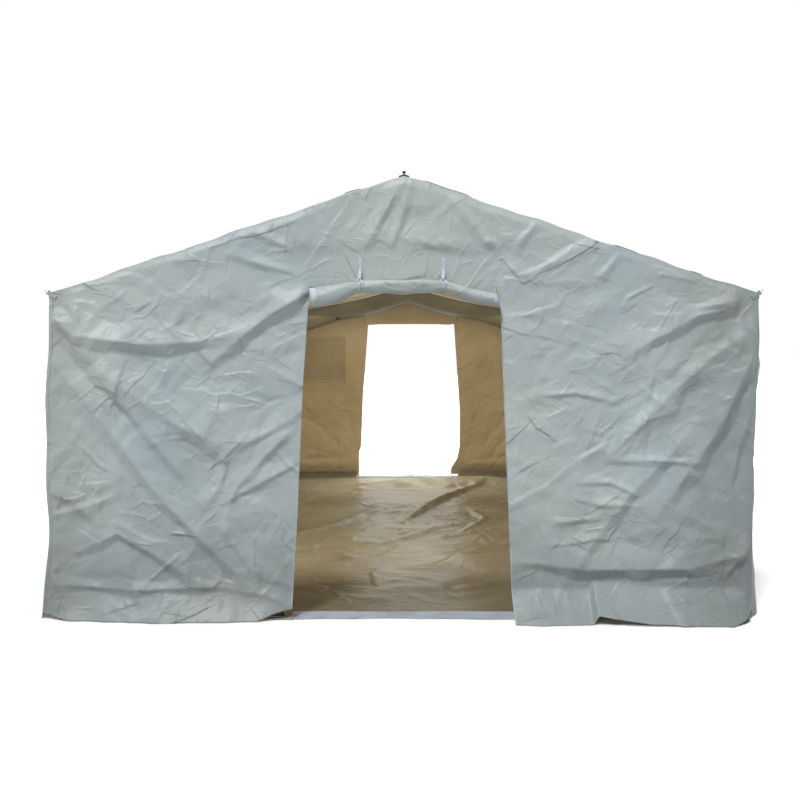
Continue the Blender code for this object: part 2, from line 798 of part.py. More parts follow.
# Corner fittings
def corner_fitting(end_name, facing, side_name, side):
    """A webbing tab on the end wall with an eye, and a steel ring whose bar runs in it."""
    outward = Vector((side * math.cos(tab_angle), 0, math.sin(tab_angle)))
    bar_axis = Vector((-side * math.sin(tab_angle), 0, math.cos(tab_angle)))
    tab_y = facing * (half_length + seat_gap + tab_thickness / 2)
    corner = Vector((side * half_width, tab_y, eave_height))
    eye_centre = corner + outward * (eye_radius + 2 * ring_wire_radius)
    frame = Matrix((outward, (0, 1, 0), bar_axis)).transposed().to_4x4()

    tab_name = f"{end_name}_{side_name}_guy_tab"
    strap = block_mesh(
        tab_name,
        (-tab_length, -tab_thickness / 2, -tab_width / 2),
        (0, tab_thickness / 2, tab_width / 2),
    )
    strap.transform(Matrix.Translation(eye_centre) @ frame)
    tab = add_part(tab_name, strap, "pale_tape")
    eye_half = tab_width / 2 - ring_running_gap
    eye_start = eye_centre - bar_axis * eye_half
    eye_end = eye_centre + bar_axis * eye_half
    eye_name = tab_name + "_eye"
    cut(tab, add_cutter(eye_name, rod_mesh(eye_name, eye_start, eye_end, eye_radius, 12)), "UNION")
    hole_radius = (ring_wire_radius + ring_running_gap) / math.cos(math.pi / 12)
    hole_start = eye_centre - bar_axis * tab_width
    hole_end = eye_centre + bar_axis * tab_width
    hole_name = tab_name + "_hole"
    cut(tab, add_cutter(hole_name, rod_mesh(hole_name, hole_start, hole_end, hole_radius, 12)))

    bar_half = tab_width / 2 + ring_wire_radius + ring_running_gap
    ring_points = [Vector((0, 0, -bar_half)), Vector((0, 0, bar_half))]
    bow_steps = 8
    for step in range(bow_steps + 1):
        turn = math.pi * step / bow_steps
        ring_points.append(Vector((ring_bar_offset + ring_radius * math.sin(turn), 0, bar_half * math.cos(turn))))
    ring_name = f"{end_name}_{side_name}_guy_ring"
    ring_mesh = tube_mesh(ring_name, [frame @ point for point in ring_points], ring_wire_radius, 2, cyclic=True)
    ring = add_part(ring_name, ring_mesh, "steel")
    ring.location = eye_centre


for end_name, facing in (("front", -1), ("rear", 1)):
    for side_name, side in (("left", -1), ("right", 1)):
        corner_fitting(end_name, facing, side_name, side)

# Studs on the gable peaks
stud_profile = (
    (0, stud_height),
    (stud_head_radius, stud_height),
    (stud_head_radius, stud_head_edge),
    (stud_neck_radius, stud_neck_top),
    (stud_neck_radius, stud_base_height),
    (stud_base_radius, stud_base_height),
    (stud_base_radius, 0),
    (0, 0),
)
for end_name, facing in (("front", -1), ("rear", 1)):
    stud = turned(end_name + "_apex_stud", "dark_metal", stud_profile, 12, closed=False)
    stud.location = (0, facing * (half_length - stud_inset), ridge_height + seat_gap)


# Inflation valves: all their pieces are turned about local Z, which points away from the beam
def cut_round_hole(part, name, place, radius, depth, frame):
    """Cuts a round hole, half its depth to each side of place."""
    hole = rod_mesh(name, (0, 0, -depth), (0, 0, depth), radius, 20)
    hole.transform(Matrix.Translation(place) @ frame)
    cut(part, add_cutter(name, hole))


def inflation_valve(name, arch, place, frame):
    """Base with a guide bar, plunger, spring and hinged cap, at place on the beam."""
    neck_top = valve_flange_thickness + valve_neck_height
    base_profile = (
        (valve_bore_radius, neck_top),
        (valve_neck_radius, neck_top),
        (valve_neck_radius, valve_flange_thickness),
        (valve_flange_radius, valve_flange_thickness),
        (valve_flange_radius, seat_gap),
        (valve_body_radius, seat_gap),
        (valve_body_radius, -valve_depth),
        (valve_seat_radius, -valve_depth),
        (valve_seat_radius, -valve_depth + valve_seat_thickness),
        (valve_bore_radius, -valve_depth + valve_seat_thickness),
    )
    base = turned(name + "_base", "valve_plastic", base_profile, 20, closed=True)
    base.matrix_world = Matrix.Translation(place) @ frame
    cut_round_hole(arch, name + "_port", place, valve_port_radius, arch_radius / 2, frame)

    bar_top = -valve_bar_drop
    bar_reach = (valve_bore_radius + valve_body_radius) / 2
    bar = block_mesh(
        name + "_bar",
        (-bar_reach, -valve_bar_width / 2, bar_top - valve_bar_thickness),
        (bar_reach, valve_bar_width / 2, bar_top),
    )
    bar.transform(base.matrix_world)
    cut(base, add_cutter(name + "_bar", bar), "UNION")
    guide_radius = (stem_radius + stem_running_gap) / math.cos(math.pi / 12)
    guide_start = (0, 0, bar_top - 2 * valve_bar_thickness)
    guide_end = (0, 0, bar_top + valve_bar_thickness)
    guide = rod_mesh(name + "_guide", guide_start, guide_end, guide_radius, 12)
    guide.transform(base.matrix_world)
    cut(base, add_cutter(name + "_guide", guide))

    button_top = neck_top - plunger_travel / 2
    disc_top = -valve_depth - seat_gap
    plunger_profile = (
        (0, button_top),
        (button_radius, button_top),
        (button_radius, button_top - button_thickness),
        (stem_radius, button_top - button_thickness),
        (stem_radius, disc_top),
        (plunger_disc_radius, disc_top),
        (plunger_disc_radius, disc_top - plunger_disc_thickness),
        (0, disc_top - plunger_disc_thickness),
    )
    plunger = turned(name + "_plunger", "valve_plastic", plunger_profile, 12, closed=False)
    plunger.matrix_world = base.matrix_world

    spring_low = bar_top + spring_wire_radius + seat_gap
    spring_high = button_top - button_thickness - spring_wire_radius - seat_gap
    coil = []
    coil_points = spring_points_per_turn * spring_turns
    for index in range(coil_points + 1):
        turn = 2 * math.pi * spring_turns * index / coil_points
        height = spring_low + (spring_high - spring_low) * index / coil_points
        coil.append((spring_radius * math.cos(turn), spring_radius * math.sin(turn), height))
    spring = add_part(name + "_spring", tube_mesh(name + "_spring", coil, spring_wire_radius, 0), "steel")
    spring.matrix_world = base.matrix_world

    cap_bottom = neck_top + seat_gap
    cap_top = cap_bottom + cap_top_thickness
    rim_inner = valve_neck_radius + cap_rim_clearance
    rim_outer = rim_inner + cap_rim_thickness
    cap_profile = (
        (0, cap_top),
        (rim_outer, cap_top),
        (rim_outer, cap_bottom - cap_rim_depth),
        (rim_inner, cap_bottom - cap_rim_depth),
        (rim_inner, cap_bottom),
        (0, cap_bottom),
    )
    hinge = Vector((0, -rim_outer, cap_bottom - cap_rim_depth))
    shifted = tuple((radius, height - hinge.z) for radius, height in cap_profile)
    cap = turned(name + "_cap", "valve_plastic", shifted, 20, closed=False)
    cap_hinge = bpy.data.objects.new(name + "_cap_hinge", None)
    parts.objects.link(cap_hinge)
    cap_hinge.matrix_world = base.matrix_world @ Matrix.Translation(hinge)
    cap.parent = cap_hinge
    cap.location = (0, rim_outer, 0)


facing_right = Matrix.Rotation(math.pi / 2, 4, "Y")
facing_left = Matrix.Rotation(-math.pi / 2, 4, "Y")
crest = leg_x - arch_radius
inflation_valve("front_valve", arches["front"], Vector((-crest, -end_arch_y, valve_height)), facing_right)
inflation_valve("rear_valve", arches["rear"], Vector((crest, end_arch_y, valve_height)), facing_left)

# Relief valve: its poppet stands in the body and lifts outwards
rafter_point = Vector((relief_station_x, end_arch_y, rafter_height(relief_station_x)))
rafter_run = Vector((math.cos(slope), 0, math.sin(slope)))
straight_down = Vector((math.sin(slope), 0, -math.cos(slope)))
relief_out = straight_down * math.cos(relief_tilt) + Vector((0, -math.sin(relief_tilt), 0))
relief_side = relief_out.cross(rafter_run)
relief_frame = Matrix((rafter_run, relief_side, relief_out)).transposed().to_4x4()
relief_place = rafter_point + relief_out * arch_radius
relief_profile = (
    (relief_bore_radius, relief_height),
    (relief_shoulder_radius, relief_height),
    (relief_body_radius, relief_shoulder_height),
    (relief_body_radius, valve_flange_thickness),
    (relief_flange_radius, valve_flange_thickness),
    (relief_flange_radius, seat_gap),
    (relief_bore_radius, seat_gap),
)
relief_body = turned("relief_valve_body", "valve_plastic", relief_profile, 20, closed=True)
relief_body.matrix_world = Matrix.Translation(relief_place) @ relief_frame
cut_round_hole(arches["rear"], "relief_port", relief_place, relief_port_radius, arch_radius / 2, relief_frame)
poppet_profile = (
    (0, relief_height + relief_poppet_proud),
    (relief_poppet_radius, relief_height + relief_poppet_proud),
    (relief_poppet_radius, seat_gap),
    (0, seat_gap),
)
poppet = turned("relief_valve_poppet", "steel", poppet_profile, 12, closed=False)
poppet.matrix_world = relief_body.matrix_world

for part in parts.objects:
    if part.type == "MESH":
        part.data.shade_smooth()
        part.data.set_sharp_from_angle(angle=math.radians(35))
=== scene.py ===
# Dressed model of an inflatable medical tent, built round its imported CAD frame.
# Metres throughout: X across the tent, Y from the front door to the rear door, Z up from the ground.
import math

import bmesh
import bpy
import numpy as np
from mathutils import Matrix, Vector


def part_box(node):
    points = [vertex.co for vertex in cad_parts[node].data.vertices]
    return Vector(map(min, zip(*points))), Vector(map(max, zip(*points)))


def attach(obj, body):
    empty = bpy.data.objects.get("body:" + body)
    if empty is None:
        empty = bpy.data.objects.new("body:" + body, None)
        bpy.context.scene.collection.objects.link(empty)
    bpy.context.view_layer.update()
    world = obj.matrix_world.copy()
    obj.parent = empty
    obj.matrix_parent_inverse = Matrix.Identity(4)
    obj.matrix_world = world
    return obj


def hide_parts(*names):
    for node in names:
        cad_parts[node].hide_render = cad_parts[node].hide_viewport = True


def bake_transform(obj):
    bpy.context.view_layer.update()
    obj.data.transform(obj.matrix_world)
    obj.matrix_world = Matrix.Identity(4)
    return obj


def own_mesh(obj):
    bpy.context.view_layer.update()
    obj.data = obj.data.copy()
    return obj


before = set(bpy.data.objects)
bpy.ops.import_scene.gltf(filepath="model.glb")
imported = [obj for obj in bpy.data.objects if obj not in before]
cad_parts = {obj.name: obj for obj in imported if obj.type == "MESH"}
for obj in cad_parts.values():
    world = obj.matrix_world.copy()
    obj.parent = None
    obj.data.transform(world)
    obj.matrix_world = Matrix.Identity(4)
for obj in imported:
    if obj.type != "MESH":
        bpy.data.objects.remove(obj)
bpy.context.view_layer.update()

# Air frame: three arches of coated cloth tube, welded along one seam and blown up hard. Each has a
# gusset under the crown, where the rafters meet, and a tight bend at each eave that puckers inside.
tent_half_width = 2.0
tent_half_length = 3.0
ridge_height = 2.5
eave_height = 1.83
roof_pitch = (ridge_height - eave_height) / tent_half_width
roof_slope = math.atan(roof_pitch)
arch_radius = 0.15
arch_clearance = 0.0013
leg_x = 1.8487
end_arch_y = 2.8487
eave_bend_radius = 0.17
crown_bend_radius = 0.25
gusset_depth = 0.08
gusset_reach = 0.85
pucker_depth = 0.011
pucker_spacing = 0.042
pucker_middle_x = 1.79
pucker_start_z = 1.35
beam_dark = (0.135, 0.124, 0.088, 1)
beam_pale = (0.190, 0.178, 0.132, 1)


def give(owner, taker, inputs):
    """Gives a node its inputs: another node's socket is linked, and any other value is set."""
    for name, value in inputs.items():
        if isinstance(value, bpy.types.NodeSocket):
            owner.node_tree.links.new(value, taker.inputs[name])
        else:
            taker.inputs[name].default_value = value


def node(owner, kind, inputs, **settings):
    """Adds a node to the shader tree of a material or a world."""
    made = owner.node_tree.nodes.new(kind)
    for setting, value in settings.items():
        setattr(made, setting, value)
    give(owner, made, inputs)
    return made


def main_shader(material):
    return material.node_tree.nodes["Principled BSDF"]


def own_place(material):
    return node(material, "ShaderNodeTexCoord", {}).outputs["Object"]


def noise(material, scale, detail, roughness=0.5):
    inputs = {"Vector": own_place(material), "Scale": scale, "Detail": detail, "Roughness": roughness}
    return node(material, "ShaderNodeTexNoise", inputs).outputs


def bump(material, height, distance, strength=1.0, under=None):
    """The normal of a raised face, over that of the coarser bump under it."""
    inputs = {"Height": height, "Distance": distance, "Strength": strength}
    if under is not None:
        inputs["Normal"] = under
    return node(material, "ShaderNodeBump", inputs).outputs["Normal"]


def mottled(name, roughness, scale, stops, metallic=0.0):
    """A new material coloured by soft noise; stops are places on the noise's ramp with their colours."""
    material = bpy.data.materials.new(name)
    material.use_nodes = True
    ramp = node(material, "ShaderNodeValToRGB", {"Fac": noise(material, scale, 5.0, 0.55)["Fac"]})
    while len(ramp.color_ramp.elements) < len(stops):
        ramp.color_ramp.elements.new(0.5)
    for element, (position, colour) in zip(ramp.color_ramp.elements, stops):
        element.position = position
        element.color = colour
    look = {"Base Color": ramp.outputs["Color"], "Roughness": roughness, "Metallic": metallic}
    give(material, main_shader(material), look)
    return material


def woven(material, thread, dents, dent_depth, under=None):
    """Raises a fine plain weave over soft dents, thread and dents being their widths."""
    dented = bump(material, noise(material, 1 / dents, 4.0, 0.6)["Fac"], dent_depth, under=under)
    weave = {"Vector": own_place(material), "Scale": 1 / thread}
    threads = node(material, "ShaderNodeTexVoronoi", weave, distance="CHEBYCHEV").outputs["Distance"]
    give(material, main_shader(material), {"Normal": bump(material, threads, 0.0002, 0.35, dented)})
    return material


beam_cloth = mottled("beam cloth", 0.42, 3.0, ((0.3, beam_dark), (0.7, beam_pale)))
woven(beam_cloth, thread=0.0012, dents=0.06, dent_depth=0.002)


def ease(value):
    value = np.clip(value, 0, 1)
    return value * value * (3 - 2 * value)


def laid_grid(name, columns, rows, place, outward=None, hole=None, weld=False, caps=False):
    """A grid of cloth. place turns shares across and up, from 0 to 1, into points in the tent."""
    bm = bmesh.new()
    bm.loops.layers.uv.new("cloth")
    bmesh.ops.create_grid(bm, x_segments=columns, y_segments=rows, size=0.5, calc_uvs=True)
    if hole:
        middles = np.array([face.calc_center_median() for face in bm.faces]) + 0.5
        bm.faces.ensure_lookup_table()
        gone = [bm.faces[index] for index in np.flatnonzero(hole(middles[:, 0], middles[:, 1]))]
        bmesh.ops.delete(bm, geom=gone, context="FACES")
    shares = np.array([vertex.co for vertex in bm.verts]) + 0.5
    points = np.stack(np.broadcast_arrays(*place(shares[:, 0], shares[:, 1])), axis=1)
    for vertex, point in zip(bm.verts, points):
        vertex.co = point
    if weld:
        bmesh.ops.remove_doubles(bm, verts=bm.verts, dist=0.00002)
    if caps:
        bmesh.ops.holes_fill(bm, edges=[edge for edge in bm.edges if edge.is_boundary], sides=0)
    bm.normal_update()
    if outward is None:
        bmesh.ops.recalc_face_normals(bm, faces=bm.faces)
    elif sum((face.normal * face.calc_area() for face in bm.faces), Vector()).dot(Vector(outward)) < 0:
        bmesh.ops.reverse_faces(bm, faces=bm.faces)
    mesh = bpy.data.meshes.new(name)
    bm.to_mesh(mesh)
    bm.free()
    mesh.shade_smooth()
    piece = bpy.data.objects.new(name, mesh)
    bpy.context.scene.collection.objects.link(piece)
    return piece


def dress(piece, slot, *finishes, body="tent", replaces=()):
    """Gives a piece its finishes, the body that carries it and the CAD nodes that it stands for."""
    for finish in finishes:
        piece.data.materials.append(finish)
    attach(piece, body)
    if replaces:
        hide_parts(*replaces)
    return piece


def thicken(piece, thickness, lining=0):
    """Gives a sheet its thickness behind its face, in the piece's next finish if it has a lining."""
    wall = piece.modifiers.new("thickness", "SOLIDIFY")
    wall.thickness = thickness
    wall.offset = -1
    wall.material_offset = lining
    return piece


def bend_points(before, corner, after, radius, steps):
    """Points of an arc that rounds one corner of a beam's centre line."""
    back, ahead = (before - corner).normalized(), (after - corner).normalized()
    half = back.angle(ahead) / 2
    centre = corner + (back + ahead).normalized() * radius / math.sin(half)
    start = corner + back * radius / math.tan(half) - centre
    whole = start.rotation_difference(corner + ahead * radius / math.tan(half) - centre)
    arc = []
    for step in range(steps + 1):
        turn = whole.copy()
        turn.angle = whole.angle * step / steps
        arc.append(centre + turn @ start)
    return arc


def roof_line(x):
    return ridge_height - np.abs(x) * roof_pitch


def rafter_height(x):
    return roof_line(x) - (arch_clearance + arch_radius) / math.cos(roof_slope)


left_foot = Vector((-leg_x, 0, arch_clearance))
left_eave = Vector((-leg_x, 0, rafter_height(leg_x)))
crown = Vector((0, 0, rafter_height(0)))
right_eave = Vector((leg_x, 0, rafter_height(leg_x)))
half_line = [left_foot, *bend_points(left_foot, left_eave, crown, eave_bend_radius, 14)]
half_line += bend_points(left_eave, crown, right_eave, crown_bend_radius, 12)[:7]
whole_line = half_line + [Vector((-point.x, 0, point.z)) for point in reversed(half_line[:-1])]
line_x = np.array([point.x for point in whole_line])
line_z = np.array([point.z for point in whole_line])
line_run = np.concatenate(([0], np.cumsum(np.hypot(np.diff(line_x), np.diff(line_z)))))


def on_arch_line(run):
    return np.array((np.interp(run, line_run, line_x), np.interp(run, line_run, line_z)))


def arch_place(middle_y):
    def place(around, along):
        run = along * line_run[-1]
        x, z = on_arch_line(run)
        run_x, run_z = on_arch_line(run + 0.03) - on_arch_line(run - 0.03)
        length = np.hypot(run_x, run_z)
        turn = 2 * math.pi * around
        bent = ease(1 - np.abs(np.abs(x) - pucker_middle_x) / 0.14) * ease((z - pucker_start_z) / 0.1)
        inside = np.clip(-np.cos(turn), 0, 1)
        pucker = pucker_depth * bent * inside * (0.5 - 0.5 * np.cos(2 * math.pi * run / pucker_spacing))
        rise = (arch_radius - pucker) * np.cos(turn)
        x = x - run_z / length * rise
        z = z + run_x / length * rise
        below = np.clip(0.5 * (1 - rise / arch_radius), 0, 1)
        across = np.clip(np.abs(x) / gusset_reach, 0, 1)
        z = z - gusset_depth * (1 - across**2) * below * (np.abs(x) < gusset_reach)
        return x, middle_y + (arch_radius - pucker) * np.sin(turn), np.maximum(z, arch_clearance)

    return place


for end_name, middle_y in (("front", -end_arch_y), ("middle", 0.0), ("rear", end_arch_y)):
    arch = laid_grid(end_name + "_arch_tube", 40, 200, arch_place(middle_y), weld=True, caps=True)
    dress(arch, "beam_cloth", beam_cloth, replaces=[end_name + "_arch_beam"])

# Cross beams: plain tubes that hold the arches apart, three in each bay, with a slight waist at
# each end where the cloth is gathered into the collar that is glued round it on the arch.
beam_overlap = 0.05
collar_width = 0.05
collar_wall = 0.003
collar_setback = 0.012
for cross in ("ridge", "left_eave", "right_eave"):
    for bay in ("front", "rear"):
        node_name = f"{cross}_beam_{bay}"
        low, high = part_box(node_name)
        middle, radius = (low + high) / 2, (high.x - low.x) / 2
        start, end = low.y - beam_overlap, high.y + beam_overlap

        def tube_place(around, along):
            turn = 2 * math.pi * around
            y = start + (end - start) * along
            near = np.minimum(y - start, end - y)
            gathered = radius * (1 - 0.05 * ease(1 - (near - beam_overlap) / 0.16) * (0.7 + 0.3 * np.cos(9 * turn)))
            return middle.x + gathered * np.cos(turn), y, middle.z + gathered * np.sin(turn)

        tube = laid_grid(node_name + "_tube", 36, 90, tube_place, weld=True, caps=True)
        dress(tube, "beam_cloth", beam_cloth, replaces=[node_name])
        for collar_end, first in (("front", low.y + collar_setback), ("rear", high.y - collar_setback - collar_width)):

            def collar_place(around, along):
                turn = 2 * math.pi * around
                outer = radius + collar_wall * (1 + 0.25 * np.sin(5 * turn) + 0.15 * np.sin(11 * turn + first))
                return middle.x + outer * np.cos(turn), first + collar_width * along, middle.z + outer * np.sin(turn)

            collar = laid_grid(f"{node_name}_{collar_end}_collar", 36, 4, collar_place, weld=True)
            dress(thicken(collar, collar_wall), "beam_cloth", beam_cloth)

# Ground sheet: khaki coated cloth with a shiny face, 4 by 6 m, laid loose under the frame. It was
# packed folded, so long soft folds and small kinks stand up from it and catch the light.
ground_brown = (0.080, 0.067, 0.042, 1)
ground_khaki = (0.115, 0.100, 0.067, 1)
ground_pale = (0.152, 0.139, 0.105, 1)
ground_half_width = 1.998
ground_half_length = 2.998
ground_thickness = 0.001
ground_kerb = 0.055
ground_tuck = 0.066
ground_bends = ((0.24, 0.0040, 0.006, 0.024, 0.5), (0.10, 0.0018, 0.004, 0.010, 1.3))


def number(owner, operation, *values):
    """What a math node makes of its values."""
    return node(owner, "ShaderNodeMath", dict(enumerate(values)), operation=operation).outputs[0]


def vector(owner, operation, first, second):
    """What a vector node makes of two values; the second is a number where the first is scaled."""
    inputs = {0: first, "Scale" if operation == "SCALE" else 1: second}
    made = node(owner, "ShaderNodeVectorMath", inputs, operation=operation)
    return made.outputs["Value" if operation == "DOT_PRODUCT" else "Vector"]


def remap(owner, value, low, high, to_low=0.0, to_high=1.0, style="LINEAR"):
    """Turns the values from low to high into those from to_low to to_high."""
    inputs = {"Value": value, "From Min": low, "From Max": high, "To Min": to_low, "To Max": to_high}
    return node(owner, "ShaderNodeMapRange", inputs, interpolation_type=style).outputs[0]


def creased(material, bends):
    """Bump of short creases. A bend is its spacing, its rise, its steep and gentle flanks and its turn."""
    grey = (0.5, 0.5, 0.5)
    bow = vector(material, "SCALE", vector(material, "SUBTRACT", noise(material, 5.0, 1.0)["Color"], grey), 0.045)
    bowed = vector(material, "ADD", own_place(material), bow)
    total = 0.0
    for spacing, rise, steep, gentle, turn in bends:
        turning = {"Vector": bowed, "Rotation": (turn, 0.7 * turn, 1.3 * turn), "Scale": (1.0, 1.7, 1.0)}
        turned = node(material, "ShaderNodeMapping", turning).outputs["Vector"]
        cells = node(material, "ShaderNodeTexVoronoi", {"Vector": turned, "Scale": 1 / spacing}).outputs
        from_middle = vector(material, "SUBTRACT", turned, cells["Position"])
        aside = vector(material, "SUBTRACT", cells["Color"], grey)
        off = vector(material, "DOT_PRODUCT", from_middle, aside)
        up = remap(material, off, -steep, 0.0)
        down = remap(material, off, 0.0, gentle, 1.0, 0.0)
        tapered = remap(material, cells["Distance"], 0.12, 0.86, rise, 0.0, "SMOOTHSTEP")
        total = number(material, "MULTIPLY_ADD", number(material, "MULTIPLY", up, down), tapered, total)
    share = remap(material, noise(material, 2.3, 1.0)["Fac"], 0.36, 0.66, 0.50, 1.40)
    return bump(material, number(material, "MULTIPLY", total, share), 1.0)


ground_stops = ((0.30, ground_brown), (0.50, ground_khaki), (0.72, ground_pale))
ground_cloth = mottled("ground cloth", 0.32, 1.4, ground_stops)
give(ground_cloth, main_shader(ground_cloth), {"Specular IOR Level": 0.32})
ground_kinks = creased(ground_cloth, ground_bends)
woven(ground_cloth, thread=0.0012, dents=0.030, dent_depth=0.0010, under=ground_kinks)


def facets(u, v, size, turn, seed):
    """Flat facets that meet in creases, like those of cloth that was packed, from -1 to 1."""
    heights = np.random.default_rng(seed).uniform(-1, 1, (64, 64))
    across = (u * math.cos(turn) + v * math.sin(turn)) / size
    along = (v * math.cos(turn) - u * math.sin(turn)) / size
    across, along = across + 0.35 * np.sin(1.7 * along + seed), along + 0.35 * np.sin(1.3 * across + 2 * seed)
    skew = (across + along) * 0.366
    column, row = np.floor(across + skew).astype(int), np.floor(along + skew).astype(int)
    across, along = across + skew - column, along + skew - row
    most, least = np.maximum(across, along), np.minimum(across, along)
    here = heights[column % 64, row % 64]
    far = heights[(column + 1) % 64, (row + 1) % 64]
    right, above = heights[(column + 1) % 64, row % 64], heights[column % 64, (row + 1) % 64]
    return here * (1 - most) + np.where(across > along, right, above) * (most - least) + far * least


def crumpled(base, u, v, layers, slack=1.0):
    """A base height with layers of facets on it; a layer is its rise, its size, its turn and its seed."""
    return sum((rise * facets(u, v, size, turn, seed) * slack for rise, size, turn, seed in layers), base)


def fold_lines(u, v, lines, crest=0.0015):
    """Height of sharp folds. A line is its points, its rise, and its flanks' widths to the left and right."""
    total = np.zeros_like(u)
    for points, rise, left, right in lines:
        reach = max(left, right)
        all_u, all_v = zip(*points)
        near = (u > min(all_u) - reach) & (u < max(all_u) + reach)
        near &= (v > min(all_v) - reach) & (v < max(all_v) + reach)
        near_u, near_v = u[near], v[near]
        lengths = [math.dist(first, second) for first, second in zip(points, points[1:])]
        nearest, side = np.full_like(near_u, 9.0), np.ones_like(near_u)
        share, passed = np.zeros_like(near_u), 0.0
        for (first, second), length in zip(zip(points, points[1:]), lengths):
            run = ((second[0] - first[0]) / length, (second[1] - first[1]) / length)
            from_u, from_v = near_u - first[0], near_v - first[1]
            along = np.clip(from_u * run[0] + from_v * run[1], 0, length)
            off = np.hypot(from_u - run[0] * along, from_v - run[1] * along)
            closer = off < nearest
            nearest = np.where(closer, off, nearest)
            side = np.where(closer, np.sign(run[0] * from_v - run[1] * from_u), side)
            share = np.where(closer, (passed + along) / sum(lengths), share)
            passed += length
        flank = np.where(side > 0, left, right) * (1 + 0.25 * np.sin(17 * near_u + 11 * near_v + 40 * rise))
        rounded = np.sqrt(nearest**2 + crest**2) - crest
        total[near] += rise * np.sin(math.pi * share) ** 0.6 * np.clip(1 - rounded / flank, 0, 1) ** 1.05
    return total


def loose_creases(seed, count, low, high, pull, longest, rise, slim=0.0):
    """Random short folds in a box of the cloth; pull(u, v) is the way that the cloth is drawn there."""
    draw = np.random.default_rng(seed)
    lines = []
    for _ in range(count):
        start = draw.uniform(low, high)
        angle = pull(*start) + draw.normal(0, 0.6)
        points = [start]
        for _ in range(draw.integers(1, 4)):
            angle += draw.normal(0, 0.4)
            reach = longest * draw.uniform(0.12, 0.5)
            points.append(points[-1] + reach * np.array((math.cos(angle), math.sin(angle))))
        flanks = draw.permutation((draw.uniform(0.009, 0.020), draw.uniform(0.018, 0.085 - slim)))
        lines.append((points, rise * draw.choice((-0.6, 1.0)) * draw.uniform(0.35, 1.0), *flanks))
    return lines


ground_folds = (
    (((0.90, 2.34), (0.45, 1.35), (0.16, 0.55), (-0.06, -0.17)), 0.055, 0.05, 0.12),
    (((-1.00, -0.75), (-0.62, -0.25), (-0.30, 0.49), (-0.22, 1.10)), 0.026, 0.10, 0.05),
    (((-0.25, -1.12), (0.02, -0.75), (0.24, -0.40), (0.75, 0.10)), 0.022, 0.03, 0.08),
    (((0.45, -0.60), (0.70, 0.00), (0.62, 0.55)), 0.024, 0.06, 0.03),
    (((-1.40, 1.60), (-0.70, 1.85), (0.10, 1.75), (0.70, 2.20)), 0.014, 0.05, 0.05),
    (((-1.60, 0.40), (-1.10, 0.90), (-0.90, 1.80)), 0.018, 0.05, 0.07),
    (((1.50, -1.90), (1.10, -0.80), (1.25, 0.60)), 0.018, 0.07, 0.05),
    (((-0.60, 2.18), (0.10, 2.27), (0.75, 2.33), (1.55, 2.30)), 0.085, 0.14, 0.30),
    (((0.20, 2.62), (0.75, 2.60), (1.30, 2.66)), 0.050, 0.10, 0.16),
)
ground_creases = loose_creases(41, 90, (-1.7, -2.5), (1.7, 2.4), lambda u, v: 1.2, 0.9, 0.012)
ground_creases += loose_creases(43, 110, (-0.5, -1.1), (1.0, 1.2), lambda u, v: 0.7, 0.40, 0.013, slim=0.03)


def ground_place(across, along):
    near_middle = 2 * across - 1
    x = ground_half_width * (0.62 * near_middle + 0.38 * near_middle**3)
    y = ground_half_length * (2 * along - 1)
    lift = crumpled(0.004, x, y, ((0.008, 0.34, 0.6, 3), (0.005, 0.17, 1.3, 5), (0.0015, 0.08, 0.3, 8)))
    lift = np.maximum(lift, 0.0) + fold_lines(x, y, ground_folds) + fold_lines(x, y, ground_creases)
    lift *= ease((1.66 - np.abs(x)) / 0.2) * ease((2.84 - np.abs(y)) / 0.2)
    kerb_start = np.where(y < 0, 0.66, 0.60)
    end_kerb = ground_kerb * np.clip((np.abs(y) - 2.975) / 0.023, 0, 1) * ease((np.abs(x) - kerb_start) / 0.03)
    side_kerb = ground_kerb * np.clip((np.abs(x) - 1.965) / 0.030, 0, 1)
    y = np.where(end_kerb > 0, np.sign(y) * np.minimum(np.abs(y) + 0.0105, 2.9985), y)
    tucked = ground_tuck * ease((x - 1.75) / 0.2) * ease((-y - 2.82) / 0.12)
    return x - tucked, y, ground_thickness + np.maximum(lift, 0) + np.maximum(end_kerb, side_kerb)


ground = laid_grid("ground_cloth_sheet", 190, 230, ground_place, outward=(0, 0, 1))
dress(thicken(ground, ground_thickness), "ground_cloth", ground_cloth, replaces=["ground_sheet"])

# Cover: grey-green cloth, coated khaki inside, cut as two roof slopes, two side walls and two end
# walls. It hangs over the frame, creased from packing, and is drawn towards the eave corners.
cover_cool = (0.330, 0.392, 0.416, 1)
cover_grey = (0.385, 0.440, 0.443, 1)
cover_green = (0.430, 0.474, 0.424, 1)
lining_dark = (0.225, 0.172, 0.096, 1)
lining_tan = (0.315, 0.250, 0.145, 1)
lining_pale = (0.370, 0.305, 0.190, 1)
cover_thickness = 0.0012
cover_bends = (
    (0.52, 0.0060, 0.007, 0.022, 0.9),
    (0.27, 0.0048, 0.006, 0.018, 0.4),
    (0.135, 0.0034, 0.0045, 0.011, 1.1),
    (0.066, 0.0018, 0.003, 0.007, 2.0),
)


def coated_cloth(name, stops, roughness):
    """Cloth with a coat on it: soft shifts of shade, kinks where it was creased, and a fine weave."""
    material = mottled(name, roughness, 1.1, stops)
    give(material, main_shader(material), {"Sheen Weight": 0.08})
    kinks = creased(material, cover_bends)
    return woven(material, thread=0.0011, dents=0.045, dent_depth=0.0012, under=kinks)


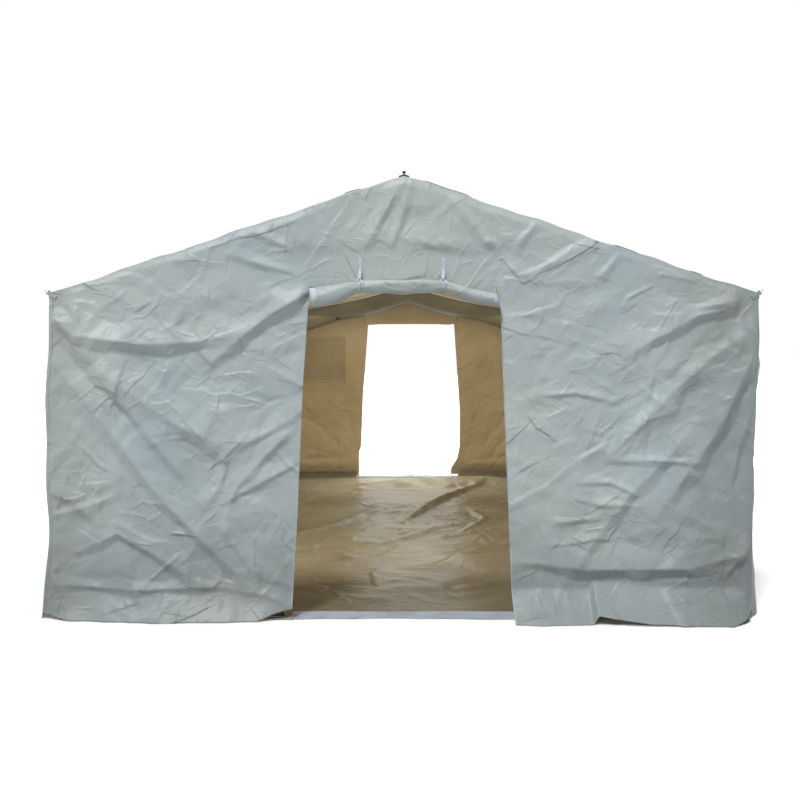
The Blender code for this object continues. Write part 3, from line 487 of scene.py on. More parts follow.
def paint_shade_and_grime(material, foot_grime_and_shade, corner_shade):
    """Darkens the cloth towards the ground, partly as grime and partly as painted shade of the low folds, and towards
    the corners as painted shade where the walls turn from the light.
    """
    clean = main_shader(material).inputs["Base Color"].links[0].from_socket
    parts = node(material, "ShaderNodeSeparateXYZ", {"Vector": own_place(material)}).outputs
    ragged = number(material, "MULTIPLY_ADD", noise(material, 4.0, 4.0)["Fac"], 0.5, parts["Z"])
    height = remap(material, ragged, 0.25, 1.15, foot_grime_and_shade, 1.0, "SMOOTHSTEP")
    across = number(material, "ABSOLUTE", parts["X"])
    # painted shade: the right corners are darkened more than the left, as they turn further from the key light
    more_right = number(material, "MULTIPLY_ADD", parts["X"], 0.11, across)
    corner = remap(material, more_right, 1.45, 2.1, 1.0, corner_shade, "SMOOTHSTEP")
    grimed_and_shaded = vector(material, "SCALE", clean, number(material, "MULTIPLY", height, corner))
    give(material, main_shader(material), {"Base Color": grimed_and_shaded})


cover_cloth = coated_cloth("cover cloth", ((0.28, cover_cool), (0.5, cover_grey), (0.74, cover_green)), 0.52)
# painted shade and grime: the cover is darkened near the ground, and darkened towards its corners as painted shade
paint_shade_and_grime(cover_cloth, 0.61, 0.66)
lining = coated_cloth("cover lining", ((0.28, lining_dark), (0.5, lining_tan), (0.74, lining_pale)), 0.48)


def cover_panel(piece, *replaced):
    """Makes a sheet a part of the cover, in place of the CAD nodes named."""
    return dress(thicken(piece, cover_thickness, 1), "cover_cloth", cover_cloth, lining, replaces=replaced)


def verge_wander(x, facing):
    """How far the edge of the roof strays up and down along a gable."""
    return 0.004 * np.sin(11 * x + facing) + 0.0025 * np.sin(29 * x + 2 * facing) - 0.004


right_lean = 0.058
skirt_spread = 0.030
past_arch = 2.89


def corner_wander(side, facing, z):
    """How far a corner seam strays from upright, across and along the tent."""
    foot = np.clip(1 - z / 0.55, 0, 1) ** 1.5
    sway = 0.008 * np.sin(4.3 * z + 2 * side + facing) + 0.004 * np.sin(12 * z + side) + 0.010
    sway *= ease((eave_height - z) / 0.3)
    if (side, facing) == (1, -1):
        return 0.4 * sway - right_lean * (1 - z / eave_height), -0.012 * foot - 0.5 * sway
    return side * (skirt_spread * foot + sway), facing * (0.012 * foot + 0.5 * sway)


def bay_share(y):
    """0 over an arch and 1 in the middle of a bay."""
    return np.sin(math.pi * np.minimum(np.abs(y), end_arch_y) / end_arch_y) ** 2


def draped(base, u, v, layers, lines, slack=1.0):
    """How far hung cloth stands off what it hangs on, with its facets and its folds."""
    return np.maximum(crumpled(base, u, v, layers, slack) + fold_lines(u, v, lines), 0)


eave_hem = 0.032
slope_length = tent_half_width / math.cos(roof_slope)
roof_sag = 0.035
verge_y = 2.999


def roof_place(side, lines, seed):
    layers = ((0.010, 0.42, 0.3, seed), (0.007, 0.17, 1.0, seed + 1), (0.0025, 0.08, 0.1, seed + 2))

    def place(across, along):
        y = verge_y * (2 * along - 1)
        down = across * (slope_length + eave_hem)
        on_slope = np.minimum(down, slope_length)
        x = on_slope * math.cos(roof_slope)
        hem = np.maximum(down - slope_length, 0)
        sag = roof_sag * bay_share(y) * np.sin(math.pi * on_slope / slope_length)
        lift = draped(0.008, down, y, layers, lines)
        lift *= ease((slope_length - down) / 0.10) * ease(down / 0.06)
        lift *= ease((verge_y - np.abs(y)) / 0.10)
        verge = verge_wander(side * x, np.sign(y)) * ease(1 - (verge_y - np.abs(y)) / 0.18) * ease((2.02 - x) / 0.2)
        return side * (x + 0.003 * (hem > 0)), y, roof_line(x) - sag + lift + verge - hem

    return place


def flipped(folds, flip_u, flip_v):
    """The same folds on the other side of the tent, their points mirrored where a flip is -1."""
    return [([(flip_u * u, flip_v * v) for u, v in points], *rest) for points, *rest in folds]


def from_ridge(u, v):
    """The way that cloth is drawn on a roof slope."""
    return math.atan2(v, u - 1.0)


roof_folds = (
    (((0.15, -2.75), (0.70, -2.20), (1.30, -1.90)), 0.016, 0.05, 0.12),
    (((0.20, -0.15), (0.75, -0.80), (1.20, -1.10)), 0.014, 0.10, 0.05),
    (((2.00, -2.70), (1.50, -2.15), (1.10, -1.40)), 0.016, 0.05, 0.12),
    (((0.10, 0.20), (0.80, 0.70), (1.60, 0.95)), 0.014, 0.05, 0.10),
    (((1.95, 0.25), (1.45, 0.85), (0.90, 1.60)), 0.015, 0.12, 0.05),
    (((2.00, 2.70), (1.40, 2.10), (0.70, 1.90)), 0.016, 0.10, 0.05),
    (((0.20, 2.80), (0.60, 2.15), (0.75, 1.40)), 0.014, 0.05, 0.09),
)
for side_name, side, seed in (("left", -1, 11), ("right", 1, 17)):
    creases = flipped(roof_folds, 1, side) + loose_creases(seed, 90, (0.1, -2.9), (2.0, 2.9), from_ridge, 0.7, 0.009)
    creases += loose_creases(seed + 50, 360, (0.05, -2.95), (2.1, 2.95), from_ridge, 0.28, 0.005, slim=0.045)
    roof = laid_grid(f"roof_{side_name}_cloth", 106, 300, roof_place(side, creases, seed), outward=(0, 0, 1))
    cover_panel(roof, f"roof_{side_name}_panel")


def flat_box(u, v, boxes, margin):
    """0 in the boxes of cloth that something lies on, rising to 1 a margin away from them."""
    share = np.ones_like(u)
    for low_u, low_v, high_u, high_v in boxes:
        beyond = np.maximum(np.maximum(low_u - u, u - high_u), np.maximum(low_v - v, v - high_v))
        share = share * ease(beyond / margin)
    return share


def side_place(side, lines, seed, flats):
    layers = ((0.014, 0.38, 0.5, seed), (0.009, 0.17, 1.2, seed + 1), (0.0035, 0.08, 0.2, seed + 2))

    def place(along, up):
        y = tent_half_length * (2 * along - 1)
        z = 0.002 + (eave_height - 0.004) * up
        from_corner = tent_half_length - np.abs(y)
        lift = draped(0.010, y, z, layers, lines)
        lift *= ease((eave_height - z) / 0.10) * ease(from_corner / 0.06)
        lift *= flat_box(y, z, flats, 0.12)
        near = ease(1 - from_corner / 0.25)
        across, beyond = np.where(y < 0, corner_wander(side, -1, z), corner_wander(side, 1, z))
        skirt = 0.035 * np.clip(1 - z / 0.15, 0, 1) ** 1.5 * (1 + 0.4 * np.sin(5 * y + side)) * (1 - near)
        inward = np.where(across * side < 0, ease((np.abs(y) - past_arch) / (tent_half_length - past_arch)), near)
        return side * (tent_half_width + lift + skirt) + across * inward, y + beyond * near, z

    return place


side_folds = (
    (((-2.98, 1.76), (-2.55, 1.30), (-2.30, 0.80), (-2.15, 0.30)), 0.030, 0.14, 0.05),
    (((-2.98, 1.50), (-2.75, 0.95), (-2.60, 0.40)), 0.022, 0.10, 0.05),
    (((-0.10, 1.78), (-0.42, 1.35), (-0.62, 0.80), (-0.95, 0.35)), 0.026, 0.05, 0.13),
    (((0.10, 1.78), (0.38, 1.30), (0.60, 0.70), (0.72, 0.25)), 0.026, 0.13, 0.05),
    (((2.98, 1.76), (2.60, 1.25), (2.36, 0.70), (2.20, 0.28)), 0.030, 0.05, 0.14),
    (((-2.10, 0.72), (-1.60, 0.55), (-1.05, 0.70)), 0.020, 0.08, 0.05),
    (((0.95, 0.62), (1.45, 0.48), (2.00, 0.66)), 0.020, 0.08, 0.05),
    (((-2.20, 0.22), (-1.30, 0.20), (-0.50, 0.24)), 0.018, 0.06, 0.04),
    (((0.40, 0.21), (1.30, 0.19), (2.40, 0.25)), 0.018, 0.06, 0.04),
)


def draw_to_corners(reach, top):
    """The way that cloth is drawn on a wall: from its nearer top corner."""
    return lambda u, v: math.atan2(v - top, u - math.copysign(reach, u))


def wall_box(node_name, axis, margin):
    """The CAD box of a piece on a wall, along the wall's axis and up, with a margin round it."""
    low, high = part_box(node_name)
    return low[axis] - margin, low.z - margin, high[axis] + margin, high.z + margin


def in_boxes(u, v, boxes):
    return sum((u > low_u) & (v > low_v) & (u < high_u) & (v < high_v) for low_u, low_v, high_u, high_v in boxes) > 0


flap_margin = 0.01
net_seam = 0.025
for side_name, side, seed in (("left", -1, 23), ("right", 1, 29)):
    pull = draw_to_corners(tent_half_length, eave_height)
    flats = [wall_box(f"{side_name}_{bay}_window_flap", 1, flap_margin) for bay in ("front", "rear")]
    openings = [wall_box(f"{side_name}_{bay}_window_net", 1, -net_seam) for bay in ("front", "rear")]

    def windows(along, up):
        return in_boxes(tent_half_length * (2 * along - 1), 0.002 + (eave_height - 0.004) * up, openings)

    creases = flipped(side_folds, side, 1) + loose_creases(seed, 150, (-2.9, 0.1), (2.9, 1.75), pull, 0.55, 0.011)
    creases += loose_creases(seed + 50, 420, (-2.95, 0.1), (2.95, 1.8), pull, 0.24, 0.006, slim=0.045)
    place = side_place(side, creases, seed, flats)
    wall = laid_grid(f"{side_name}_side_cloth", 364, 110, place, outward=(side, 0, 0), hole=windows)
    cover_panel(wall, f"{side_name}_side_wall")

door_half = 0.60
door_height = 1.86
side_columns = 112
door_columns = 96
end_columns = 2 * side_columns + door_columns
low_rows = 148
end_rows = 190
knuckle_height = 1.574


def end_place(facing, lines, seed, flats, jambs, hem, lifted):
    """An end wall. jambs gives the doorway's two edges by height; hem and lifted shape its skirt."""
    layers = ((0.012, 0.36, 0.4, seed), (0.009, 0.17, 1.1, seed + 1), (0.0040, 0.085, 0.2, seed + 2))
    column_marks = (0, side_columns, side_columns + door_columns, end_columns)

    def place(across, up):
        x = np.interp(across * end_columns, column_marks, (-tent_half_width, -door_half, door_half, tent_half_width))
        from_corner = tent_half_width - np.abs(x)
        level = knuckle_height + (door_height - knuckle_height) * ease(from_corner / (tent_half_width - door_half))
        top = roof_line(x) + 0.001
        low = np.interp(x, *lifted)
        row = up * end_rows
        lower = low + (level - low) * row / low_rows
        upper = level + (top - level) * (row - low_rows) / (end_rows - low_rows)
        z = np.where(row < low_rows, lower, upper)
        slack = 1 - 0.45 * ease((z - 1.75) / 0.25)
        lift = draped(0.010, x, z, layers, lines, slack)
        lift *= ease((top - z) / 0.05) * ease(from_corner / 0.05)
        lift *= flat_box(x, z, flats, 0.10)
        out = np.interp(x, *hem) * np.clip(1 - (z - low) / 0.17, 0, 1) ** 1.4
        near = ease(1 - from_corner / 0.25)
        aside, beyond = np.where(x < 0, corner_wander(-1, facing, z), corner_wander(1, facing, z))
        rightness = np.clip(0.5 + 0.5 * x / door_half, 0, 1)
        lean = np.interp(z, *jambs[0]) * (1 - rightness) + np.interp(z, *jambs[1]) * rightness
        lean *= ease(1 - (np.abs(x) - door_half) / 0.5) * ease((door_height + 0.16 - z) / 0.16)
        verge = verge_wander(x, facing) * ease(1 - (top - z) / 0.15) * ease(from_corner / 0.2)
        return x + aside * near + lean, facing * (tent_half_length + lift + out) + beyond * near, z + verge

    return place


def doorway(across, up):
    column, row = across * end_columns, up * end_rows
    return (column > side_columns) & (column < side_columns + door_columns) & (row < low_rows)


front_folds = (
    (((-2.12, 1.90), (-1.70, 1.39), (-1.30, 1.105), (-0.97, 0.96), (-0.85, 0.93)), 0.050, 0.30, 0.105),
    (((-2.10, 1.62), (-1.77, 1.20), (-1.59, 0.97), (-1.35, 0.66), (-1.16, 0.48), (-0.78, 0.105)), 0.036, 0.18, 0.060),
    (((-1.74, 1.42), (-1.53, 1.145), (-1.33, 0.91), (-1.15, 0.70)), 0.022, 0.11, 0.040),
    (((-2.10, 1.80), (-1.84, 1.59), (-1.48, 1.54), (-1.20, 1.55), (-0.90, 1.60)), 0.040, 0.13, 0.060),
    (((-0.46, 1.92), (-0.77, 1.72), (-0.97, 1.54), (-1.16, 1.35)), 0.030, 0.05, 0.11),
    (((-1.86, 0.36), (-1.61, 0.48), (-1.41, 0.37), (-1.06, 0.15)), 0.028, 0.11, 0.045),
    (((-0.60, 1.12), (-0.80, 0.90), (-0.94, 0.74), (-1.00, 0.62)), 0.018, 0.03, 0.08),
    (((-0.62, 0.87), (-0.80, 0.77), (-1.03, 0.64)), 0.014, 0.025, 0.06),
    (((-0.55, 1.20), (-0.80, 1.03), (-0.99, 0.945)), 0.015, 0.03, 0.07),
    (((-1.04, 0.55), (-0.90, 0.36), (-0.80, 0.20)), 0.014, 0.07, 0.025),
    (((-0.99, 0.97), (-1.04, 0.74), (-1.14, 0.60)), 0.014, 0.03, 0.06),
    (((-2.05, 0.20), (-1.50, 0.165), (-1.05, 0.18), (-0.74, 0.13)), 0.022, 0.05, 0.035),
    (((-2.04, 0.74), (-1.86, 0.66), (-1.70, 0.50)), 0.016, 0.06, 0.03),
    (((-2.04, 0.56), (-1.80, 0.62), (-1.60, 0.70)), 0.012, 0.03, 0.05),
    (((2.12, 1.82), (1.645, 1.70), (1.369, 1.549), (1.22, 1.46)), 0.036, 0.050, 0.17),
    (((2.06, 1.80), (1.84, 1.78), (1.64, 1.74)), 0.016, 0.03, 0.05),
    (((2.06, 1.70), (1.70, 1.45), (1.515, 1.277), (1.25, 1.015), (1.12, 0.88)), 0.030, 0.10, 0.07),
    (((2.06, 1.66), (1.82, 1.21), (1.735, 1.035), (1.555, 0.77), (1.40, 0.55)), 0.050, 0.075, 0.17),
    (((1.70, 1.18), (1.47, 0.90), (1.23, 0.66), (0.95, 0.27)), 0.028, 0.06, 0.12),
    (((2.04, 1.36), (1.90, 0.98), (1.84, 0.70)), 0.026, 0.04, 0.09),
    (((1.13, 0.885), (1.40, 0.89), (1.68, 0.875)), 0.015, 0.03, 0.03),
    (((0.97, 0.765), (1.16, 0.765), (1.32, 0.69)), 0.014, 0.035, 0.02),
    (((0.96, 0.67), (1.11, 0.64), (1.28, 0.64)), 0.013, 0.03, 0.02),
    (((0.76, 1.25), (0.975, 1.268), (1.22, 1.21)), 0.014, 0.03, 0.02),
    (((2.06, 0.40), (1.60, 0.285), (1.04, 0.275), (0.60, 0.33)), 0.036, 0.06, 0.12),
    (((2.04, 0.46), (1.90, 0.33), (1.80, 0.22)), 0.020, 0.03, 0.07),
    (((0.02, 2.52), (-0.14, 2.23), (-0.26, 2.00)), 0.020, 0.035, 0.08),
    (((0.05, 2.52), (-0.01, 2.26), (-0.08, 2.06)), 0.016, 0.03, 0.05),
    (((-1.00, 2.05), (-0.80, 1.99), (-0.64, 1.94)), 0.016, 0.05, 0.03),
    (((-0.90, 2.20), (-0.62, 2.07)), 0.013, 0.05, 0.03),
    (((0.26, 2.38), (0.42, 2.18), (0.56, 2.02)), 0.016, 0.03, 0.06),
    (((0.78, 2.26), (0.66, 2.13), (0.58, 2.02)), 0.014, 0.05, 0.03),
    (((1.06, 2.14), (0.88, 2.03), (0.70, 1.92)), 0.017, 0.06, 0.03),
    (((1.22, 2.06), (1.14, 1.96), (1.06, 1.88)), 0.013, 0.05, 0.03),
    (((0.00, 2.17), (0.26, 2.06), (0.60, 1.97), (0.88, 1.87)), 0.018, 0.06, 0.03),
    (((-0.50, 1.90), (-0.66, 1.80), (-0.86, 1.66)), 0.014, 0.03, 0.05),
)
front_jambs = (
    ((0.0, 0.13, 0.57, 1.33, 1.84), (-0.028, -0.025, -0.001, 0.033, 0.068)),
    ((0.0, 0.86, 1.44, 1.70, 1.86), (0.012, -0.023, -0.046, -0.054, -0.074)),
)
front_hem = (
    (-2.0, -1.85, -1.3, -0.8, -0.6, 0.6, 0.75, 1.05, 1.35, 1.80, 1.90, 2.0),
    (0.0, 0.06, 0.11, 0.09, 0.02, 0.15, 0.16, 0.14, 0.16, 0.19, 0.12, 0.0),
)
front_lifted = (
    (-2.0, -1.94, -1.85, -0.80, -0.70, -0.6, 0.6, 1.04, 1.07, 1.35, 1.70, 1.80, 1.93, 2.0),
    (0.030, 0.020, 0.002, 0.002, 0.036, 0.055, 0.002, 0.002, 0.050, 0.014, 0.004, 0.002, 0.02, 0.055),
)
rear_folds = (
    (((-2.00, 1.70), (-1.72, 1.10), (-1.45, 0.55)), 0.024, 0.14, 0.05),
    (((-1.60, 0.85), (-1.10, 0.62), (-0.72, 0.20)), 0.022, 0.12, 0.05),
    (((-2.00, 1.30), (-1.85, 0.80), (-1.80, 0.35)), 0.020, 0.08, 0.04),
    (((2.00, 1.74), (1.55, 1.45), (1.10, 1.20)), 0.026, 0.05, 0.14),
    (((2.00, 1.52), (1.55, 1.02), (1.15, 0.65), (0.85, 0.30)), 0.030, 0.05, 0.15),
    (((1.90, 1.10), (1.70, 0.70), (1.50, 0.40)), 0.020, 0.04, 0.09),
    (((0.66, 1.20), (0.95, 0.95), (1.20, 0.90)), 0.012, 0.05, 0.03),
    (((-0.66, 0.95), (-0.95, 0.80)), 0.010, 0.03, 0.05),
    (((0.05, 2.42), (0.17, 2.22), (0.30, 2.06)), 0.014, 0.06, 0.03),
    (((-0.40, 2.24), (-0.62, 2.10), (-0.85, 1.98)), 0.013, 0.03, 0.07),
    (((0.70, 2.12), (0.95, 1.95)), 0.010, 0.05, 0.03),
    (((-1.95, 0.24), (-1.30, 0.20), (-0.70, 0.24)), 0.018, 0.06, 0.05),
    (((1.95, 0.22), (1.30, 0.24), (0.70, 0.19)), 0.018, 0.05, 0.06),
)
rear_jambs = (
    ((0.0, 0.30, 0.36, 1.0, 1.86), (-0.006, -0.002, 0.020, 0.045, 0.108)),
    ((0.0, 0.10, 0.22, 0.36, 0.80, 1.86), (-0.080, -0.072, 0.000, 0.028, 0.030, -0.040)),
)
rear_hem = ((-2.0, -1.5, -1.0, -0.6, 0.6, 1.0, 1.6, 2.0), (0.0, 0.10, 0.08, 0.05, 0.08, 0.12, 0.09, 0.0))
rear_lifted = ((-2.0, -1.1, -0.9, 0.6, 0.8, 2.0), (0.002, 0.002, 0.002, 0.018, 0.002, 0.002))
lintel_flat = (-0.56, 1.84, 0.56, 2.03)
tab_flats = ((-2.0, 1.76, -1.93, 1.86), (1.93, 1.76, 2.0, 1.86))
rear_window_flat = wall_box("rear_window_flap", 0, flap_margin)
rear_opening = wall_box("rear_window_net", 0, -net_seam)


def end_creases(seed, long_count, fine_count):
    """Random creases of an end wall, the long ones and then the fine ones, drawn from its top corners."""
    pull = draw_to_corners(tent_half_width, eave_height)
    long_creases = loose_creases(seed, long_count, (-1.95, 0.1), (1.95, 2.1), pull, 0.45, 0.010)
    return long_creases + loose_creases(seed + 2, fine_count, (-1.98, 0.1), (1.98, 2.2), pull, 0.20, 0.0055, slim=0.045)


front_lines = front_folds + tuple(end_creases(31, 150, 420))
front_place = end_place(-1, front_lines, 7, (lintel_flat, *tab_flats), front_jambs, front_hem, front_lifted)
half_columns = 220
half_rows = 285
middle_seam_reach = 0.004
for side_name, from_left in (("left", 0.0), ("right", 0.5)):

    def half_place(across, up):
        return front_place(from_left + across / 2, up)

    def half_doorway(across, up):
        return doorway(from_left + across / 2, up)

    half_name = f"front_wall_{side_name}_cloth"
    half = laid_grid(half_name, half_columns, half_rows, half_place, outward=(0, -1, 0), hole=half_doorway)
    for edge in half.data.edges:
        edge.use_edge_sharp = max(abs(half.data.vertices[end].co.x) for end in edge.vertices) < middle_seam_reach
    cover_panel(half, "front_wall")

rear_lines = rear_folds + tuple(end_creases(37, 140, 400))
rear_flats = (lintel_flat, rear_window_flat, *tab_flats)
rear_place = end_place(1, rear_lines, 19, rear_flats, rear_jambs, rear_hem, rear_lifted)


def rear_holes(across, up):
    x, _, z = rear_place(across, up)
    return doorway(across, up) | in_boxes(x, z, [rear_opening])


rear_cloth = laid_grid("rear_wall_cloth", end_columns, end_rows, rear_place, outward=(0, 1, 0), hole=rear_holes)
cover_panel(rear_cloth, "rear_wall")

# Seams and edges of the cover: a dark piped cord along each gable, a taped ridge, felled corners,
# and a strip of pale hook tape sewn down each side of a doorway to close the door.
piping_brown = (0.070, 0.040, 0.034, 1)
piping_tan = (0.115, 0.080, 0.068, 1)
hook_white = (0.400, 0.450, 0.480, 1)
hook_grey = (0.310, 0.360, 0.400, 1)
tape_white = (0.520, 0.560, 0.610, 1)
tape_blue = (0.400, 0.455, 0.530, 1)
tape_weave = dict(thread=0.0014, dents=0.015, dent_depth=0.0008)
tape_thickness = 0.0008
seam_thickness = 0.0010
tape_raised = 0.0006
hook_tape_width = 0.007
corner_seam_width = 0.022
piping_radius = 0.0035
piping_y = 2.9945
front_piping_shows = ((-0.29, 0.07), (0.24, 0.19), (1.25, 0.10), (1.65, 0.05))

piping_cord = mottled("piping cord", 0.6, 14.0, ((0.35, piping_brown), (0.65, piping_tan)))
woven(piping_cord, thread=0.0009, dents=0.01, dent_depth=0.0006)
hook_tape = woven(mottled("hook tape", 0.7, 9.0, ((0.35, hook_grey), (0.62, hook_white))), **tape_weave)
pale_tape = woven(mottled("pale tape", 0.62, 9.0, ((0.32, tape_blue), (0.62, tape_white))), **tape_weave)


def cord_along(name, middle, radius, sides, steps):
    """A round cord; middle turns shares along it into points."""

    def place(around, along):
        before, here, after = (np.stack(np.broadcast_arrays(*middle(along + step))) for step in (-0.001, 0, 0.001))
        ahead = (after - before) / np.linalg.norm(after - before, axis=0)
        aside = np.cross(ahead.T, np.array((0.0, 1.0, 0.0))).T
        aside = aside / np.linalg.norm(aside, axis=0)
        other = np.cross(ahead.T, aside.T).T
        turn = 2 * math.pi * around
        return tuple(here + radius * (np.cos(turn) * aside + np.sin(turn) * other))

    return laid_grid(name, sides, steps, place, weld=True, caps=True)


def strip_on(name, wall_place, facing, edges, top, columns, rows):
    """A strip sewn on an end wall, between two shares of its width and from its foot to a share of its height."""
    left, right = sorted(edges)

    def place(across, up):
        x, y, z = wall_place(left + (right - left) * across, top * up)
        return x, y + facing * tape_raised, z

    return thicken(laid_grid(name, columns, rows, place, outward=(0, facing, 0)), tape_thickness)


column_width = (tent_half_width - door_half) / side_columns
wall_trims = {}
for end_name, facing, wall_place in (("front", -1, front_place), ("rear", 1, rear_place)):
    wall_trims[end_name] = trims = []
    for side_name, side in (("left", -1), ("right", 1)):

        def verge_line(along):
            x = tent_half_width * along
            shows = sum(ease(2 - 2 * np.abs(side * x - middle) / half) for middle, half in front_piping_shows)
            wander = verge_wander(side * x, facing) * ease((2.02 - x) / 0.2)
            return side * x, facing * piping_y, roof_line(x) + wander - 0.0055 + 0.0080 * np.clip(shows, 0, 1)

        piping = cord_along(f"{end_name}_{side_name}_verge_piping", verge_line, piping_radius, 8, 130)
        trims.append(dress(piping, "dark_metal", piping_cord))
        jamb = 0.5 + side * door_columns / 2 / end_columns
        edges = (jamb, jamb + side * hook_tape_width / column_width / end_columns)
        strip_name = f"{end_name}_{side_name}_jamb_hook_tape"
        strip = strip_on(strip_name, wall_place, facing, edges, low_rows / end_rows, 4, 200)
        trims.append(dress(strip, "pale_tape", hook_tape))
        corner = 0.5 + side * 0.5
        edges = (corner, corner - side * corner_seam_width / (2 * tent_half_width))
        seam = strip_on(f"{end_name}_{side_name}_corner_seam", wall_place, facing, edges, 1.0, 3, 190)
        trims.append(dress(seam, "cover_cloth", cover_cloth))

ridge_tape_half = 0.03


def ridge_place(across, along):
    x, y = ridge_tape_half * (2 * across - 1), verge_y * (2 * along - 1)
    return x, y, roof_line(x) + 0.0012 + 0.0006 * np.sin(31 * y)


ridge_tape = laid_grid("ridge_seam_tape", 8, 300, ridge_place, outward=(0, 0, 1))
dress(thicken(ridge_tape, seam_thickness), "cover_cloth", cover_cloth)

# Windows: an opening in the wall, closed by a net that is sewn behind it under a frame of lining, and
# by a bound flap of cover cloth that hangs outside from its top edge.
net_green = (0.060, 0.064, 0.050, 1)
net_grey = (0.110, 0.112, 0.092, 1)
net_pitch = 0.016
net_thread = 0.0019
net_thickness = 0.0006
net_frame_width = 0.030
flap_thickness = 0.0008
binding_width = 0.022

net_cord = mottled("window net", 0.7, 25.0, ((0.35, net_green), (0.65, net_grey)))


def window_box(node_name):
    """The CAD box of a window's piece, and the axis that runs along its wall."""
    low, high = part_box(node_name)
    return low, high, 1 if high.y - low.y > high.x - low.x else 0


def window_sheet(name, node_name, columns, rows, shape, hole=None):
    """A sheet in a window's plane. shape gives how far it stands out, from places across and up in metres."""
    low, high, axis = window_box(node_name)
    width, height = high[axis] - low[axis], high.z - low.z
    wall = ((low + high) / 2)[1 - axis]
    outward = Vector()
    outward[1 - axis] = math.copysign(1, wall)

    def place(across, up):
        flat, z = low[axis] + width * across, low.z + height * up
        depth = math.copysign(1, wall) * (abs(wall) + shape(flat - low[axis], z - low.z, width, height))
        return (depth, flat, z) if axis == 1 else (flat, depth, z)

    return laid_grid(name, columns, rows, place, outward=outward, hole=hole)


def edge_distance(u, v, width, height):
    return np.minimum(np.minimum(u, width - u), np.minimum(v, height - v))


def flap_shape(u, v, width, height):
    """A bound flap: its edge is doubled, and the cloth inside it is puckered by the seam."""
    edge = edge_distance(u, v, width, height)
    inside = ease((edge - binding_width) / 0.05)
    puckers = 0.0010 * np.sin(60 * (u + 0.3 * v)) * np.exp(-(((edge - binding_width - 0.01) / 0.012) ** 2))
    belly = 0.0035 * np.clip(facets(u, v, 0.20, 0.5, 9), 0, 1) + 0.002 * np.clip(facets(u, v, 0.09, 1.2, 6), 0, 1)
    return 0.0006 + 0.0011 * (edge < binding_width) + inside * belly + np.clip(puckers, 0, 1)


for window in ("left_front_window", "left_rear_window", "right_front_window", "right_rear_window", "rear_window"):
    flap = window_sheet(window + "_bound_flap", window + "_flap", 70, 62, flap_shape)
    for finish in (cover_cloth, pale_tape, lining):
        flap.data.materials.append(finish)
    low, high, axis = window_box(window + "_flap")
    width, height = high[axis] - low[axis], high.z - low.z
    for face in flap.data.polygons:
        edge = edge_distance(face.center[axis] - low[axis], face.center.z - low.z, width, height)
        face.material_index = 1 if edge < binding_width else 0
    thicken(flap, flap_thickness, 2)
    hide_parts(window + "_flap")
    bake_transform(flap)

    low, high, axis = window_box(window + "_net")
    width, height = high[axis] - low[axis], high.z - low.z
    columns, rows = round(width / net_pitch), round(height / net_pitch)
    net = window_sheet(window + "_mesh", window + "_net", columns, rows, lambda u, v, w, h: 0 * u)
    bm = bmesh.new()
    bm.from_mesh(net.data)
    threads = bmesh.ops.inset_individual(bm, faces=bm.faces, thickness=net_thread / 2)
    cells = [face for face in bm.faces if face not in set(threads["faces"])]
    bmesh.ops.delete(bm, geom=cells, context="FACES")
    bm.to_mesh(net.data)
    bm.free()
    dress(thicken(net, net_thickness), "net", net_cord, replaces=[window + "_net"])

    def inner(across, up):
        return edge_distance(across * width, up * height, width, height) > net_frame_width

    net_frame = window_sheet(
        window + "_net_frame", window + "_net", 66, 58, lambda u, v, w, h: -0.0016 + 0 * u, hole=inner
    )
    dress(thicken(net_frame, seam_thickness), "cover_cloth", lining)

# Mud flaps: inside the foot of each end wall a strip of cover cloth is sewn on, which lies out on
# the ground under the skirt, keeps splashes off it and closes the gap where the skirt is lifted.
flap_start = 0.62
flap_length = 1.31
flap_foot_y = 2.988
seam_allowance = 0.012
least_reach = 0.050
for end_name, facing, hem in (("front", -1, front_hem), ("rear", 1, rear_hem)):
    for side_name, side in (("left", -1), ("right", 1)):

        def mud_flap_place(across, along):
            x = side * (flap_start + flap_length * across)
            reach = np.maximum(np.interp(x, *hem) - 0.010, least_reach)
            wave = 0.004 * np.maximum(np.sin(13 * x + facing) + 0.5 * np.sin(31 * x), 0) * along
            rise = 0.0030 + wave * ease(across / 0.1) * ease((1 - across) / 0.1)
            return x, facing * (flap_foot_y + (seam_allowance + reach) * along), rise

        mud_flap = laid_grid(f"{end_name}_{side_name}_mud_flap", 70, 10, mud_flap_place, outward=(0, 0, 1))
        cover_panel(mud_flap)

# Threshold: a pale strip of tape cloth sewn across each doorway, over the edge of the ground sheet.
# It's trodden on, so it is soiled, lies in small waves, and its outer edge strays and lifts.
trodden_grey = (0.230, 0.275, 0.330, 1)
trodden_blue = (0.300, 0.365, 0.455, 1)
threshold_widening = 1.07

trodden_stops = ((0.32, trodden_grey), (0.66, trodden_blue))
trodden_tape = woven(mottled("trodden tape", 0.66, 7.0, trodden_stops), **tape_weave)
for end_name, facing in (("front", -1), ("rear", 1)):
    low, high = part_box(end_name + "_threshold_strip")

    def threshold_place(across, along):
        x, y = threshold_widening * (low.x + (high.x - low.x) * across), low.y + (high.y - low.y) * along
        outer = ease((np.abs(y) - 2.93) / 0.07)
        wave = 0.0030 * np.sin(9 * x + facing) + 0.0025 * np.sin(23 * x + 2) * outer + 0.0015 * np.sin(61 * x) * outer
        stray = 0.010 * np.sin(4.1 * x + 1.2 * facing) + 0.004 * np.sin(17 * x) - 0.010
        rise = np.maximum(wave, 0) * ease((0.59 - np.abs(x)) / 0.1)
        return x, y + facing * stray * outer, (high.z + 0.001) * (1 - 0.75 * outer) + rise

    threshold = laid_grid(end_name + "_threshold_cloth", 120, 16, threshold_place, outward=(0, 0, 1))
    thicken(threshold, tape_thickness)
    dress(threshold, "pale_tape", trodden_tape, replaces=[end_name + "_threshold_strip"])

